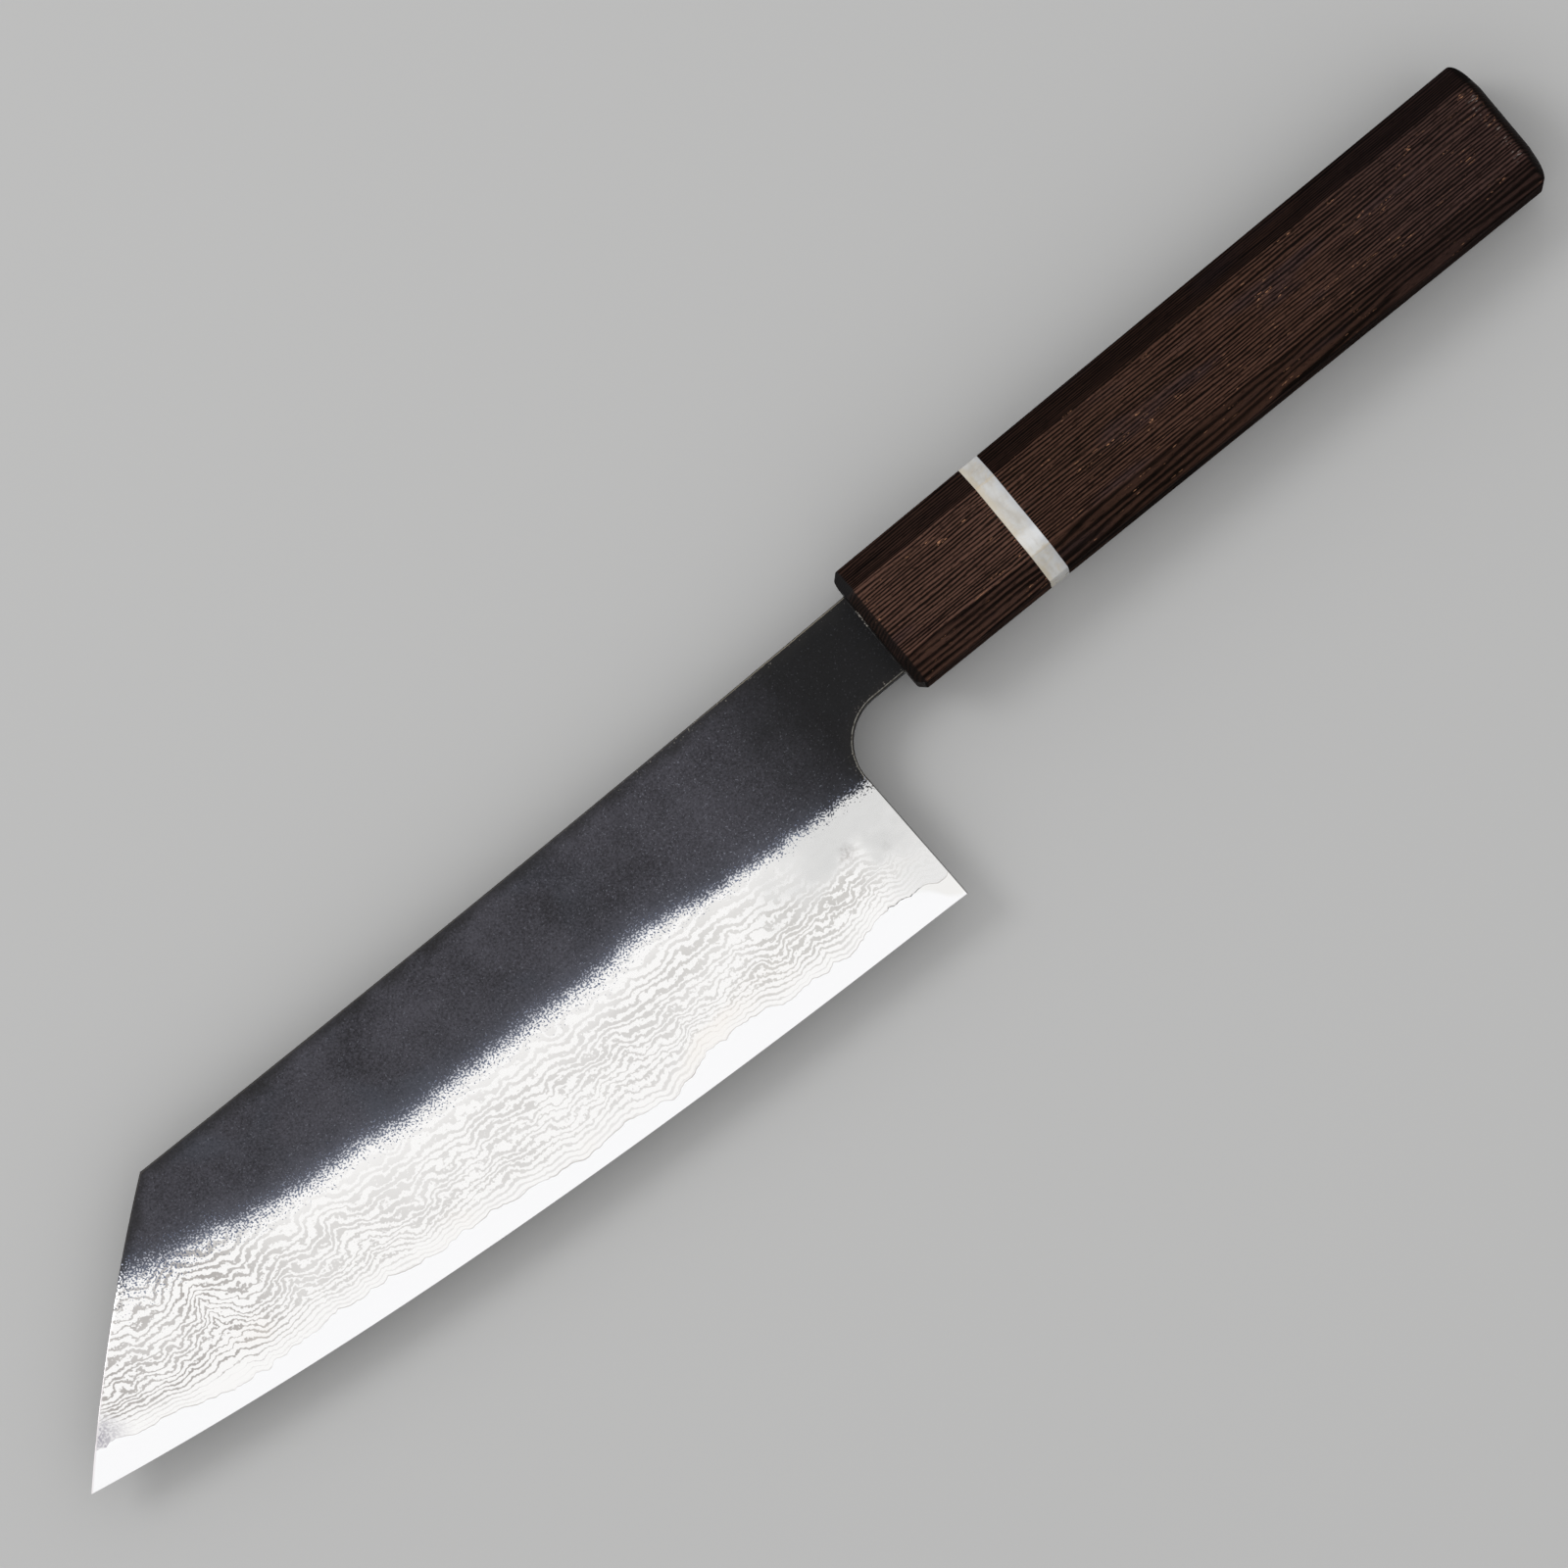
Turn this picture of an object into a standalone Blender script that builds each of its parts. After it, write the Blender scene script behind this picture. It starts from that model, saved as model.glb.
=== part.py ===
"""A bunka kitchen knife: a three-layer laminated blade with a slanted tip, in an octagonal wooden handle.

The knife lies on its right side. X runs from the tip to the butt, Y from the cutting edge to the
spine, and Z up, out of the blade's left face. All shapes are drawn in the knife's own frame, which
starts on the handle's axis at the front face of the ferrule. An empty carries that frame to its
place, so that the world's origin is the middle of the base of the whole knife.
"""

import math

import bmesh
import bpy
from mathutils import Matrix, Vector

MM = 0.001

# Outline of the blade, measured from the ferrule's front face and the handle's axis
TIP_REACH = 181.9 * MM  # the tip, ahead of the ferrule
HEEL_REACH = 14.6 * MM  # the heel, ahead of the ferrule
SPINE_REACH = 144.0 * MM  # the corner where the spine ends and the tip line begins
SPINE_ABOVE_AXIS = 7.85 * MM
SPINE_DIP = 0.5 * MM  # how far the spine sinks halfway along
BLADE_HEIGHT = 48.8 * MM  # heel to spine
TIP_RISE = 14.1 * MM  # the tip, above the level of the heel
TIP_LINE_BOW = 1.0 * MM
BOW_FADE = 3  # power by which that bow dies away towards the heel
HEEL_ANGLE = math.radians(4.3)  # slope of the cutting edge at the heel
HEEL_PULL = 7.5 * MM  # how far that slope holds
TIP_ANGLE = math.radians(10.8)  # slope of the cutting edge at the tip
TIP_PULL = 72.0 * MM  # how far that slope holds
CHOIL_RADIUS = 8.8 * MM
CHOIL_LEAN = 0.8 * MM  # how far the choil face leans towards the tip
NECK_HEIGHT = 15.45 * MM

# Thickness of the blade
NECK_THICKNESS = 3.0 * MM
HEEL_THICKNESS = 2.9 * MM  # at the spine, above the heel
CORNER_THICKNESS = 1.8 * MM  # at the spine's front corner
SPINE_EASE = 0.25 * MM  # chamfer along the spine
CORE_THICKNESS = 0.6 * MM
CORE_BAND = 4.3 * MM  # width of the core steel that the grinding lays bare
CORE_BAND_TIP = 6.3 * MM  # the same, measured along the tip line
CORE_BAND_FADE = 8  # power by which the one width gives way to the other
EDGE_BEVEL_WIDTH = 0.6 * MM
EDGE_BEVEL_THICKNESS = 0.18 * MM
SCALE_LINE_TIP = 34.3 * MM  # from the tip to where the ground bevel gives way to forge scale
SCALE_LINE_FADE = 2  # power by which that line drops towards the choil
SCALE_LINE_THINNING = 0.88  # share of the spine's thickness that is left at that line

# Tang
TANG_LENGTH = 95.0 * MM
TANG_HEIGHT = 10.0 * MM
TANG_END_HEIGHT = 5.0 * MM
TANG_END_THICKNESS = 2.0 * MM

# Handle
FERRULE_LENGTH = 26.4 * MM
SPACER_LENGTH = 3.7 * MM
GRIP_LENGTH = 98.3 * MM
HANDLE_THICKNESS = 18.8 * MM
HANDLE_HEIGHT_FRONT = 22.6 * MM
HANDLE_HEIGHT_BUTT = 23.9 * MM
CORNER_CUT_FRONT = 4.55 * MM  # leg of the octagon's cut corners
CORNER_CUT_BUTT = 4.3 * MM
FRONT_CHAMFER_DEPTH = 1.2 * MM
FRONT_CHAMFER_INSET = 1.1 * MM
BUTT_CROWN_DEPTH = 2.3 * MM
BUTT_CROWN_INSET = 6.2 * MM
FACET_EASE = 0.3 * MM  # how far each long corner of the octagon is flattened

# Inside the handle
FIT_GAP = 0.3 * MM
DOWEL_WALL = 1.2 * MM  # wood left beside the dowel's slot
DOWEL_IN_FERRULE = 16.0 * MM
DOWEL_IN_GRIP = 30.0 * MM
SEAL_DEPTH = 2.0 * MM
SEAL_RIM = 0.4 * MM  # how far the seal shows above and below the neck
SEAL_SIDE = 0.6 * MM  # how far it shows beside the neck
OVERCUT = 1.0 * MM  # how far a cutter runs past the face that it opens

# Fineness of the mesh
BLADE_COLUMNS = 40
ROAD_ROWS = 4  # steps from the core steel up to the forge scale
FILLET_STEPS = 10
NECK_STEPS = 3
TANG_STEPS = 4
CROWN_STEPS = 5
ROUND_SIDES = 48
SHARP_ANGLE = math.radians(20)  # faces that meet at more than this are shaded with a sharp edge

# Colour, metallic value and roughness of each material
MATERIALS = {
    "polished_core_steel": ((0.82, 0.82, 0.83), 1.0, 0.18),
    "patterned_steel": ((0.60, 0.60, 0.62), 1.0, 0.28),
    "forge_scale": ((0.045, 0.048, 0.058), 0.3, 0.55),
    "ferrule_wenge": ((0.060, 0.034, 0.026), 0.0, 0.45),
    "grip_wenge": ((0.070, 0.038, 0.028), 0.0, 0.45),
    "marbled_ivory_resin": ((0.78, 0.75, 0.70), 0.0, 0.30),
    "magnolia_wood": ((0.62, 0.50, 0.34), 0.0, 0.60),
    "dark_sealing_resin": ((0.020, 0.018, 0.017), 0.0, 0.25),
}

# Rows of the blade, from the cutting edge to the spine
ROAD = [f"road_{i}" for i in range(1, ROAD_ROWS)]
SCALE_ROWS = ["scale", "tang_low", "tang_high", "spine_ease", "spine"]
CLADDING_ROWS = ["core", *ROAD, *SCALE_ROWS]
CORE_ROWS = ["edge", "bevel", *CLADDING_ROWS]

CORE_HALF = CORE_THICKNESS / 2
HANDLE_LENGTH = FERRULE_LENGTH + SPACER_LENGTH + GRIP_LENGTH
NECK_LOW = SPINE_ABOVE_AXIS - NECK_HEIGHT
HEEL = Vector((-HEEL_REACH, SPINE_ABOVE_AXIS - BLADE_HEIGHT))
TIP = Vector((-TIP_REACH, HEEL.y + TIP_RISE))
CHOIL_TOP = Vector((HEEL.x - CHOIL_LEAN, NECK_LOW - CHOIL_RADIUS))
TIP_LINE_LENGTH = (Vector((-SPINE_REACH, SPINE_ABOVE_AXIS)) - TIP).length


def mix(a, b, share):
    return a + (b - a) * share


# Outline


def spine_point(x):
    """The spine from the ferrule (x = 0) to its front corner, with a slight dip."""
    share = -x / SPINE_REACH
    return Vector((x, SPINE_ABOVE_AXIS - SPINE_DIP * 4 * share * (1 - share)))


def edge_point(share):
    """The cutting edge as one cubic curve, from the tip (0) to the heel (1)."""
    past_tip = TIP + TIP_PULL * Vector((math.cos(TIP_ANGLE), -math.sin(TIP_ANGLE)))
    before_heel = HEEL + HEEL_PULL * Vector((-math.cos(HEEL_ANGLE), math.sin(HEEL_ANGLE)))
    rest = 1 - share
    ends = rest**3 * TIP + share**3 * HEEL
    return ends + 3 * rest * share * (rest * past_tip + share * before_heel)


def choil_spine_x():
    """Where the choil face, carried on upwards, meets the level of the spine."""
    rise = (SPINE_ABOVE_AXIS - HEEL.y) / (CHOIL_TOP.y - HEEL.y)
    return HEEL.x - CHOIL_LEAN * rise


def tang_share(height):
    """How far up the neck a height lies, from its underside (0) to the spine (1)."""
    return (height - NECK_LOW) / NECK_HEIGHT


# Ribs: each is a dictionary from a row's name to (x, y, half thickness)


def blade_rib(share):
    """One rib of the blade, from the tip line (0) to the choil face (1)."""
    low = edge_point(share)
    high = spine_point(mix(-SPINE_REACH, choil_spine_x(), share))
    rib = high - low
    bow = Vector((-rib.y, rib.x)).normalized() * TIP_LINE_BOW * (1 - share) ** BOW_FADE
    spine_half = mix(CORNER_THICKNESS, HEEL_THICKNESS, share) / 2
    scale_half = spine_half * SCALE_LINE_THINNING
    core_at = mix(CORE_BAND, CORE_BAND_TIP, (1 - share) ** CORE_BAND_FADE) / rib.length
    choil_at = (CHOIL_TOP.y - HEEL.y) / (high.y - HEEL.y)
    scale_at = mix(choil_at, SCALE_LINE_TIP / TIP_LINE_LENGTH, (1 - share) ** SCALE_LINE_FADE)
    rows = {
        "edge": (0, 0),
        "bevel": (EDGE_BEVEL_WIDTH / rib.length, EDGE_BEVEL_THICKNESS / 2),
        "core": (core_at, CORE_HALF),
        "scale": (scale_at, scale_half),
        "spine_ease": (1 - SPINE_EASE / rib.length, spine_half),
        "spine": (1, spine_half - SPINE_EASE),
    }
    for i, row in enumerate(ROAD, start=1):
        up = i / ROAD_ROWS
        rows[row] = (mix(core_at, scale_at, up), mix(CORE_HALF, scale_half, up))
    for row, height in (("tang_low", -TANG_HEIGHT / 2), ("tang_high", TANG_HEIGHT / 2)):
        up = tang_share(height)
        rows[row] = (mix(scale_at, 1, up), mix(scale_half, spine_half, up))
    placed = {}
    for row, (at, half) in rows.items():
        point = low + rib * at + bow * 4 * at * (1 - at)
        placed[row] = (point.x, point.y, half)
    return placed


def neck_rib(low):
    """One rib of the neck, from the round corner or the neck's underside up to the spine."""
    share = 1 - low.x / CHOIL_TOP.x
    high = spine_point(choil_spine_x() * (1 - share))
    high_half = mix(HEEL_THICKNESS, NECK_THICKNESS, share) / 2
    low_half = high_half * mix(SCALE_LINE_THINNING, 1, share)
    rows = {
        "scale": (0, low_half),
        "tang_low": (tang_share(-TANG_HEIGHT / 2), None),
        "tang_high": (tang_share(TANG_HEIGHT / 2), None),
        "spine_ease": (1 - SPINE_EASE / (high.y - low.y), high_half),
        "spine": (1, high_half - SPINE_EASE),
    }
    placed = {}
    for row, (at, half) in rows.items():
        point = low.lerp(high, at)
        placed[row] = (point.x, point.y, mix(low_half, high_half, at) if half is None else half)
    return placed


def neck_ribs():
    """The ribs behind the choil face, up to the ferrule."""
    centre = CHOIL_TOP + Vector((CHOIL_RADIUS, 0))
    lows = []
    for i in range(1, FILLET_STEPS + 1):
        turn = math.pi / 2 * i / FILLET_STEPS
        lows.append(centre + CHOIL_RADIUS * Vector((-math.cos(turn), math.sin(turn))))
    for i in range(1, NECK_STEPS + 1):
        lows.append(Vector((mix(centre.x, 0, i / NECK_STEPS), NECK_LOW)))
    return [neck_rib(low) for low in lows]


def tang_size(x):
    """Height and thickness of the tang, x behind the ferrule's front face."""
    share = x / TANG_LENGTH
    height = mix(TANG_HEIGHT, TANG_END_HEIGHT, share)
    return height, mix(NECK_THICKNESS, TANG_END_THICKNESS, share)


def tang_rib(x):
    height, thickness = tang_size(x)
    return {"tang_low": (x, -height / 2, thickness / 2), "tang_high": (x, height / 2, thickness / 2)}


# Making objects


def new_material(name):
    colour, metallic, roughness = MATERIALS[name]
    material = bpy.data.materials.new(name)
    material.use_nodes = True
    shader = material.node_tree.nodes["Principled BSDF"]
    shader.inputs["Base Color"].default_value = (*colour, 1)
    shader.inputs["Metallic"].default_value = metallic
    shader.inputs["Roughness"].default_value = roughness
    material.diffuse_color = (*colour, 1)
    return material


def new_object(name, shape, frame, material_names=()):
    """Turns a bmesh drawn in the knife's frame into an object that the frame carries."""
    mesh = bpy.data.meshes.new(name)
    shape.to_mesh(mesh)
    shape.free()
    for material_name in material_names:
        mesh.materials.append(new_material(material_name))
    item = bpy.data.objects.new(name, mesh)
    item.parent = frame
    bpy.context.scene.collection.objects.link(item)
    return item


def box_shape(low, high):
    shape = bmesh.new()
    bmesh.ops.create_cube(shape, size=2)
    for vertex in shape.verts:
        vertex.co = [b if side > 0 else a for side, a, b in zip(vertex.co, low, high)]
    return shape


def rod_shape(start, end, radius):
    """A round bar along the handle's axis."""
    shape = bmesh.new()
    middle = Matrix.Translation(((start + end) / 2, 0, 0))
    bmesh.ops.create_cone(
        shape,
        cap_ends=True,
        segments=ROUND_SIDES,
        radius1=radius,
        radius2=radius,
        depth=end - start,
        matrix=middle @ Matrix.Rotation(math.pi / 2, 4, "Y"),
    )
    return shape


def cut(item, name, shape):
    """Takes a shape out of an item."""
    cutter = new_object(name, shape, item.parent)
    cutter.hide_render = True
    cutter.display_type = "WIRE"
    modifier = item.modifiers.new(name, "BOOLEAN")
    modifier.object = cutter
    modifier.operation = "DIFFERENCE"
    modifier.solver = "EXACT"


# The laminated blade


def layer(name, frame, rows, top, bottom, material_names):
    """One closed layer of the laminate, with its faces at top(half) and bottom(half) on each rib, where
    half is the blade's half thickness there. Where the two meet, the layer runs out to a sharp edge.
    The last material is for the rows of forge scale."""
    ribs = [blade_rib(i / BLADE_COLUMNS) for i in range(BLADE_COLUMNS + 1)]
    ribs += neck_ribs()
    ribs += [tang_rib(TANG_LENGTH * i / TANG_STEPS) for i in range(1, TANG_STEPS + 1)]
    shape = bmesh.new()
    upper = {}
    lower = {}
    for i, rib in enumerate(ribs):
        for row in rows:
            if row not in rib:
                continue
            x, y, half = rib[row]
            upper[i, row] = shape.verts.new((x, y, top(half)))
            if top(half) == bottom(half):
                lower[i, row] = upper[i, row]
            else:
                lower[i, row] = shape.verts.new((x, y, bottom(half)))
    rim = {}
    for i in range(len(ribs) - 1):
        for row, above in zip(rows, rows[1:]):
            cell = [(i, row), (i + 1, row), (i + 1, above), (i, above)]
            if not all(corner in upper for corner in cell):
                continue
            slot = len(material_names) - 1 if row in SCALE_ROWS else 0
            shape.faces.new([upper[c] for c in cell]).material_index = slot
            shape.faces.new([lower[c] for c in reversed(cell)]).material_index = slot
            for side in zip(cell, cell[1:] + cell[:1]):
                if side[::-1] in rim:
                    del rim[side[::-1]]
                else:
                    rim[side] = slot
    for (start, end), slot in rim.items():
        wall = list(dict.fromkeys([lower[start], lower[end], upper[end], upper[start]]))
        if len(wall) > 2:
            shape.faces.new(wall).material_index = slot
    return new_object(name, shape, frame, material_names)


def blade(frame):
    """The hard core between two patterned claddings. All three run on as the tang."""
    cladding = ("patterned_steel", "forge_scale")
    layer(
        "blade_core",
        frame,
        CORE_ROWS,
        lambda half: min(half, CORE_HALF),
        lambda half: -min(half, CORE_HALF),
        ("polished_core_steel",),
    )
    layer("cladding_left", frame, CLADDING_ROWS, lambda half: half, lambda half: CORE_HALF, cladding)
    layer("cladding_right", frame, CLADDING_ROWS, lambda half: -CORE_HALF, lambda half: -half, cladding)


# The handle


def handle_height(x):
    return mix(HANDLE_HEIGHT_FRONT, HANDLE_HEIGHT_BUTT, x / HANDLE_LENGTH)


def octagon(x, inset=0.0):
    """The handle's section at x, drawn in all round by inset, with each of its eight corners eased."""
    side_y = handle_height(x) / 2 - inset
    side_z = HANDLE_THICKNESS / 2 - inset
    corner_cut = mix(CORNER_CUT_FRONT, CORNER_CUT_BUTT, x / HANDLE_LENGTH)
    corner_cut -= (2 - math.sqrt(2)) * inset
    flat_y = side_y - corner_cut
    flat_z = side_z - corner_cut
    corners = [(side_y, flat_z), (flat_y, side_z), (-flat_y, side_z), (-side_y, flat_z)]
    corners = [Vector(c) for c in corners]
    corners += [-c for c in corners]
    points = []
    for i, corner in enumerate(corners):
        before = corners[i - 1] - corner
        after = corners[(i + 1) % len(corners)] - corner
        points.append(corner + before.normalized() * FACET_EASE)
        points.append(corner + after.normalized() * FACET_EASE)
    return [(x, p.x, p.y) for p in points]


def handle_block(name, frame, sections, material_name):
    """A solid through a row of sections, each an x and an inset."""
    shape = bmesh.new()
    rings = [[shape.verts.new(p) for p in octagon(x, inset)] for x, inset in sections]
    for ring, after in zip(rings, rings[1:]):
        for i in range(len(ring)):
            j = (i + 1) % len(ring)
            shape.faces.new((ring[i], ring[j], after[j], after[i]))
    shape.faces.new(rings[0][::-1])
    shape.faces.new(rings[-1])
    return new_object(name, shape, frame, (material_name,))


DOWEL_START = FERRULE_LENGTH - DOWEL_IN_FERRULE
DOWEL_END = FERRULE_LENGTH + SPACER_LENGTH + DOWEL_IN_GRIP


def dowel_slot():
    """Half height and half thickness of the slot that takes the tang."""
    height, thickness = tang_size(DOWEL_START)
    return height / 2 + FIT_GAP, thickness / 2 + FIT_GAP


def dowel_radius():
    return math.hypot(*dowel_slot()) + DOWEL_WALL


def dowel_bore():
    """The bore that the dowel is glued into, which runs through the ferrule and the ring into the grip."""
    return rod_shape(DOWEL_START - FIT_GAP, DOWEL_END + FIT_GAP, dowel_radius() + FIT_GAP)


def tang_opening():
    """The slot through the ferrule's front wall and the seal."""
    half_height = TANG_HEIGHT / 2 + FIT_GAP
    half_thickness = NECK_THICKNESS / 2 + FIT_GAP
    return box_shape((-OVERCUT, -half_height, -half_thickness), (DOWEL_START, half_height, half_thickness))


def seal_space(start):
    """The shallow pocket round the neck that the sealing resin fills."""
    half_thickness = NECK_THICKNESS / 2 + SEAL_SIDE
    low = (start, NECK_LOW - SEAL_RIM, -half_thickness)
    return box_shape(low, (SEAL_DEPTH, SPINE_ABOVE_AXIS + SEAL_RIM, half_thickness))


def ferrule(frame):
    sections = [(0, FRONT_CHAMFER_INSET), (FRONT_CHAMFER_DEPTH, 0), (FERRULE_LENGTH, 0)]
    block = handle_block("ferrule", frame, sections, "ferrule_wenge")
    cut(block, "ferrule_bore_cutter", dowel_bore())
    cut(block, "ferrule_slot_cutter", tang_opening())
    cut(block, "ferrule_pocket_cutter", seal_space(-OVERCUT))


def tang_seal(frame):
    seal = new_object("tang_seal", seal_space(0), frame, ("dark_sealing_resin",))
    cut(seal, "seal_slot_cutter", tang_opening())


def spacer_ring(frame):
    sections = [(FERRULE_LENGTH, 0), (FERRULE_LENGTH + SPACER_LENGTH, 0)]
    ring = handle_block("spacer_ring", frame, sections, "marbled_ivory_resin")
    cut(ring, "ring_bore_cutter", dowel_bore())


def grip(frame):
    """The long block, with a crowned butt, a bore for the dowel and a narrower one for the tang's end."""
    sections = [(FERRULE_LENGTH + SPACER_LENGTH, 0)]
    for i in range(CROWN_STEPS + 1):
        turn = math.pi / 2 * i / CROWN_STEPS
        x = HANDLE_LENGTH - BUTT_CROWN_DEPTH * (1 - math.sin(turn))
        sections.append((x, BUTT_CROWN_INSET * (1 - math.cos(turn))))
    block = handle_block("grip", frame, sections, "grip_wenge")
    cut(block, "grip_dowel_bore_cutter", dowel_bore())
    tang_bore_radius = math.hypot(*tang_size(DOWEL_END)) / 2 + FIT_GAP
    tang_bore = rod_shape(DOWEL_END, TANG_LENGTH + FIT_GAP, tang_bore_radius)
    cut(block, "grip_tang_bore_cutter", tang_bore)


def joining_dowel(frame):
    shape = rod_shape(DOWEL_START, DOWEL_END, dowel_radius())
    dowel = new_object("joining_dowel", shape, frame, ("magnolia_wood",))
    half_height, half_thickness = dowel_slot()
    low = (DOWEL_START - OVERCUT, -half_height, -half_thickness)
    high = (DOWEL_END + OVERCUT, half_height, half_thickness)
    cut(dowel, "dowel_slot_cutter", box_shape(low, high))


def shade(item):
    """Smooth shading, kept sharp where faces meet at a clear angle."""
    item.data.shade_smooth()
    item.data.set_sharp_from_angle(angle=SHARP_ANGLE)


def main():
    for item in list(bpy.data.objects):
        bpy.data.objects.remove(item)
    frame = bpy.data.objects.new("knife_frame", None)
    highest = handle_height(HANDLE_LENGTH - BUTT_CROWN_DEPTH) / 2
    middle_x = (TIP_REACH - HANDLE_LENGTH) / 2
    frame.location = (middle_x, -(HEEL.y + highest) / 2, HANDLE_THICKNESS / 2)
    bpy.context.scene.collection.objects.link(frame)
    blade(frame)
    ferrule(frame)
    tang_seal(frame)
    spacer_ring(frame)
    grip(frame)
    joining_dowel(frame)
    for item in bpy.data.objects:
        if item.type == "MESH":
            shade(item)


main()
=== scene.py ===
"""The finish of a bunka knife: forge scale, patterned and polished steel, striped wenge, a marbled ring.

Shapes are drawn in the knife's own frame and in millimetres: x = 0 at the ferrule's front face, y = 0 on
the handle's axis and z = 0 in the middle of the blade. placed() carries a point into the frame's metres.
"""

import bisect
import math

import bmesh
import bpy
from mathutils import Matrix, Vector, noise


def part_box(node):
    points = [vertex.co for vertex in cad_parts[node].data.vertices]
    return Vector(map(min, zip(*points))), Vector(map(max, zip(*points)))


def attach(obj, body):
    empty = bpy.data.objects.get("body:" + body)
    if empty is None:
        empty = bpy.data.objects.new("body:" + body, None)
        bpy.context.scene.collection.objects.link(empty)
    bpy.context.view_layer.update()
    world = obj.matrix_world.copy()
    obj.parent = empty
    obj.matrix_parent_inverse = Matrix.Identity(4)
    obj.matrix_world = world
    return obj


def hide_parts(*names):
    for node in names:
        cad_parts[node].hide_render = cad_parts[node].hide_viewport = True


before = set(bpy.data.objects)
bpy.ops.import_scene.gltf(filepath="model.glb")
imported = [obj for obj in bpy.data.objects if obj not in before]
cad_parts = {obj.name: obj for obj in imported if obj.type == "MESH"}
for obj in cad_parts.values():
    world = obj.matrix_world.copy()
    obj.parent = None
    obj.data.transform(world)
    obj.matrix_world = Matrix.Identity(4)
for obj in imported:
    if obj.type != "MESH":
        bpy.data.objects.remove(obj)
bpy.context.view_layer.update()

MM = 0.001
BODY = "root"

# Where the knife's own frame lies, and the sizes that the frame gives
FERRULE_LOW, FERRULE_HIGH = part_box("ferrule")
_, RING_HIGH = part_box("spacer_ring")
GRIP_LOW, GRIP_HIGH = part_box("grip")
CORE_LOW, CORE_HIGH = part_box("blade_core")
DOWEL_LOW, DOWEL_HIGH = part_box("joining_dowel")
KNIFE = Vector((FERRULE_LOW.x, (FERRULE_LOW.y + FERRULE_HIGH.y) / 2, (FERRULE_LOW.z + FERRULE_HIGH.z) / 2))
TIP_X = (CORE_LOW.x - KNIFE.x) / MM
TANG_END = (CORE_HIGH.x - KNIFE.x) / MM
SPINE_Y = (CORE_HIGH.y - KNIFE.y) / MM
HEEL_Y = (CORE_LOW.y - KNIFE.y) / MM
CORE_HALF = (CORE_HIGH.z - CORE_LOW.z) / MM / 2
FERRULE_END = (FERRULE_HIGH.x - KNIFE.x) / MM
RING_END = (RING_HIGH.x - KNIFE.x) / MM
BUTT_X = (GRIP_HIGH.x - KNIFE.x) / MM
HANDLE_THICKNESS = (GRIP_HIGH.z - GRIP_LOW.z) / MM
DOWEL_START = (DOWEL_LOW.x - KNIFE.x) / MM
DOWEL_END = (DOWEL_HIGH.x - KNIFE.x) / MM
DOWEL_RADIUS = (DOWEL_HIGH.z - DOWEL_LOW.z) / MM / 2

# Outline of the blade, as the construction draws it
HEEL_X = -14.6
SPINE_END_X = -144.0
SPINE_DIP = 0.5
TIP_RISE = 14.1
TIP_LINE_BOW = 1.0
BOW_FADE = 3
HEEL_ANGLE = math.radians(4.3)
HEEL_PULL = 7.5
TIP_ANGLE = math.radians(10.8)
TIP_PULL = 72.0
CHOIL_RADIUS = 8.8
CHOIL_LEAN = 0.8
NECK_HEIGHT = 15.45

# Thickness of the blade
NECK_THICKNESS = 3.0
HEEL_THICKNESS = 2.9
CORNER_THICKNESS = 1.8
CORE_BAND = 4.3
CORE_BAND_TIP = 6.3
CORE_BAND_FADE = 8
EDGE_BEVEL_WIDTH = 0.6
EDGE_BEVEL_THICKNESS = 0.18
SCALE_LINE_TIP = 34.3
SCALE_LINE_FADE = 2
SCALE_LINE_THINNING = 0.88
TANG_HEIGHT = 10.0
TANG_END_HEIGHT = 5.0
TANG_END_THICKNESS = 2.0
RIM_EASE = 0.28  # radius worn onto the blade's outer corners
RIM_EASE_SHARE = 0.6  # the most of the cladding's thickness that it takes
FORGED_WAVES = ((0.030, 5.5), (0.014, 1.7))  # height and width of the unevenness under the scale
SIDE_SEED = 37.0  # sets the unevenness of the two sides apart
LEFT_SEED = 3.0  # and their finish
RIGHT_SEED = 61.0

# Handle
HANDLE_HEIGHT_FRONT = 22.6
HANDLE_HEIGHT_BUTT = 23.9
CORNER_CUT_FRONT = 4.55
CORNER_CUT_BUTT = 4.3
FRONT_CHAMFER_DEPTH = 1.2
FRONT_CHAMFER_INSET = 1.1
BUTT_CROWN_DEPTH = 2.3
BUTT_CROWN_INSET = 6.2
CHAMFER_EASE = 0.18
FACET_EASE = 0.3
JOINT_EASE = 0.07  # how far the blocks' edges are rubbed down where they meet
FIT_GAP = 0.3
SEAL_DEPTH = 2.0
SEAL_RIM = 0.4
SEAL_SIDE = 0.6
SEAL_CLIMB = 0.3  # how far the sealing resin creeps up the neck
CLEAR = 1.0  # how far the cutters stand out in front of the ferrule
SLOT_Y = TANG_HEIGHT / 2 + FIT_GAP  # half of the tang's slot
SLOT_Z = NECK_THICKNESS / 2 + FIT_GAP

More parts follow.
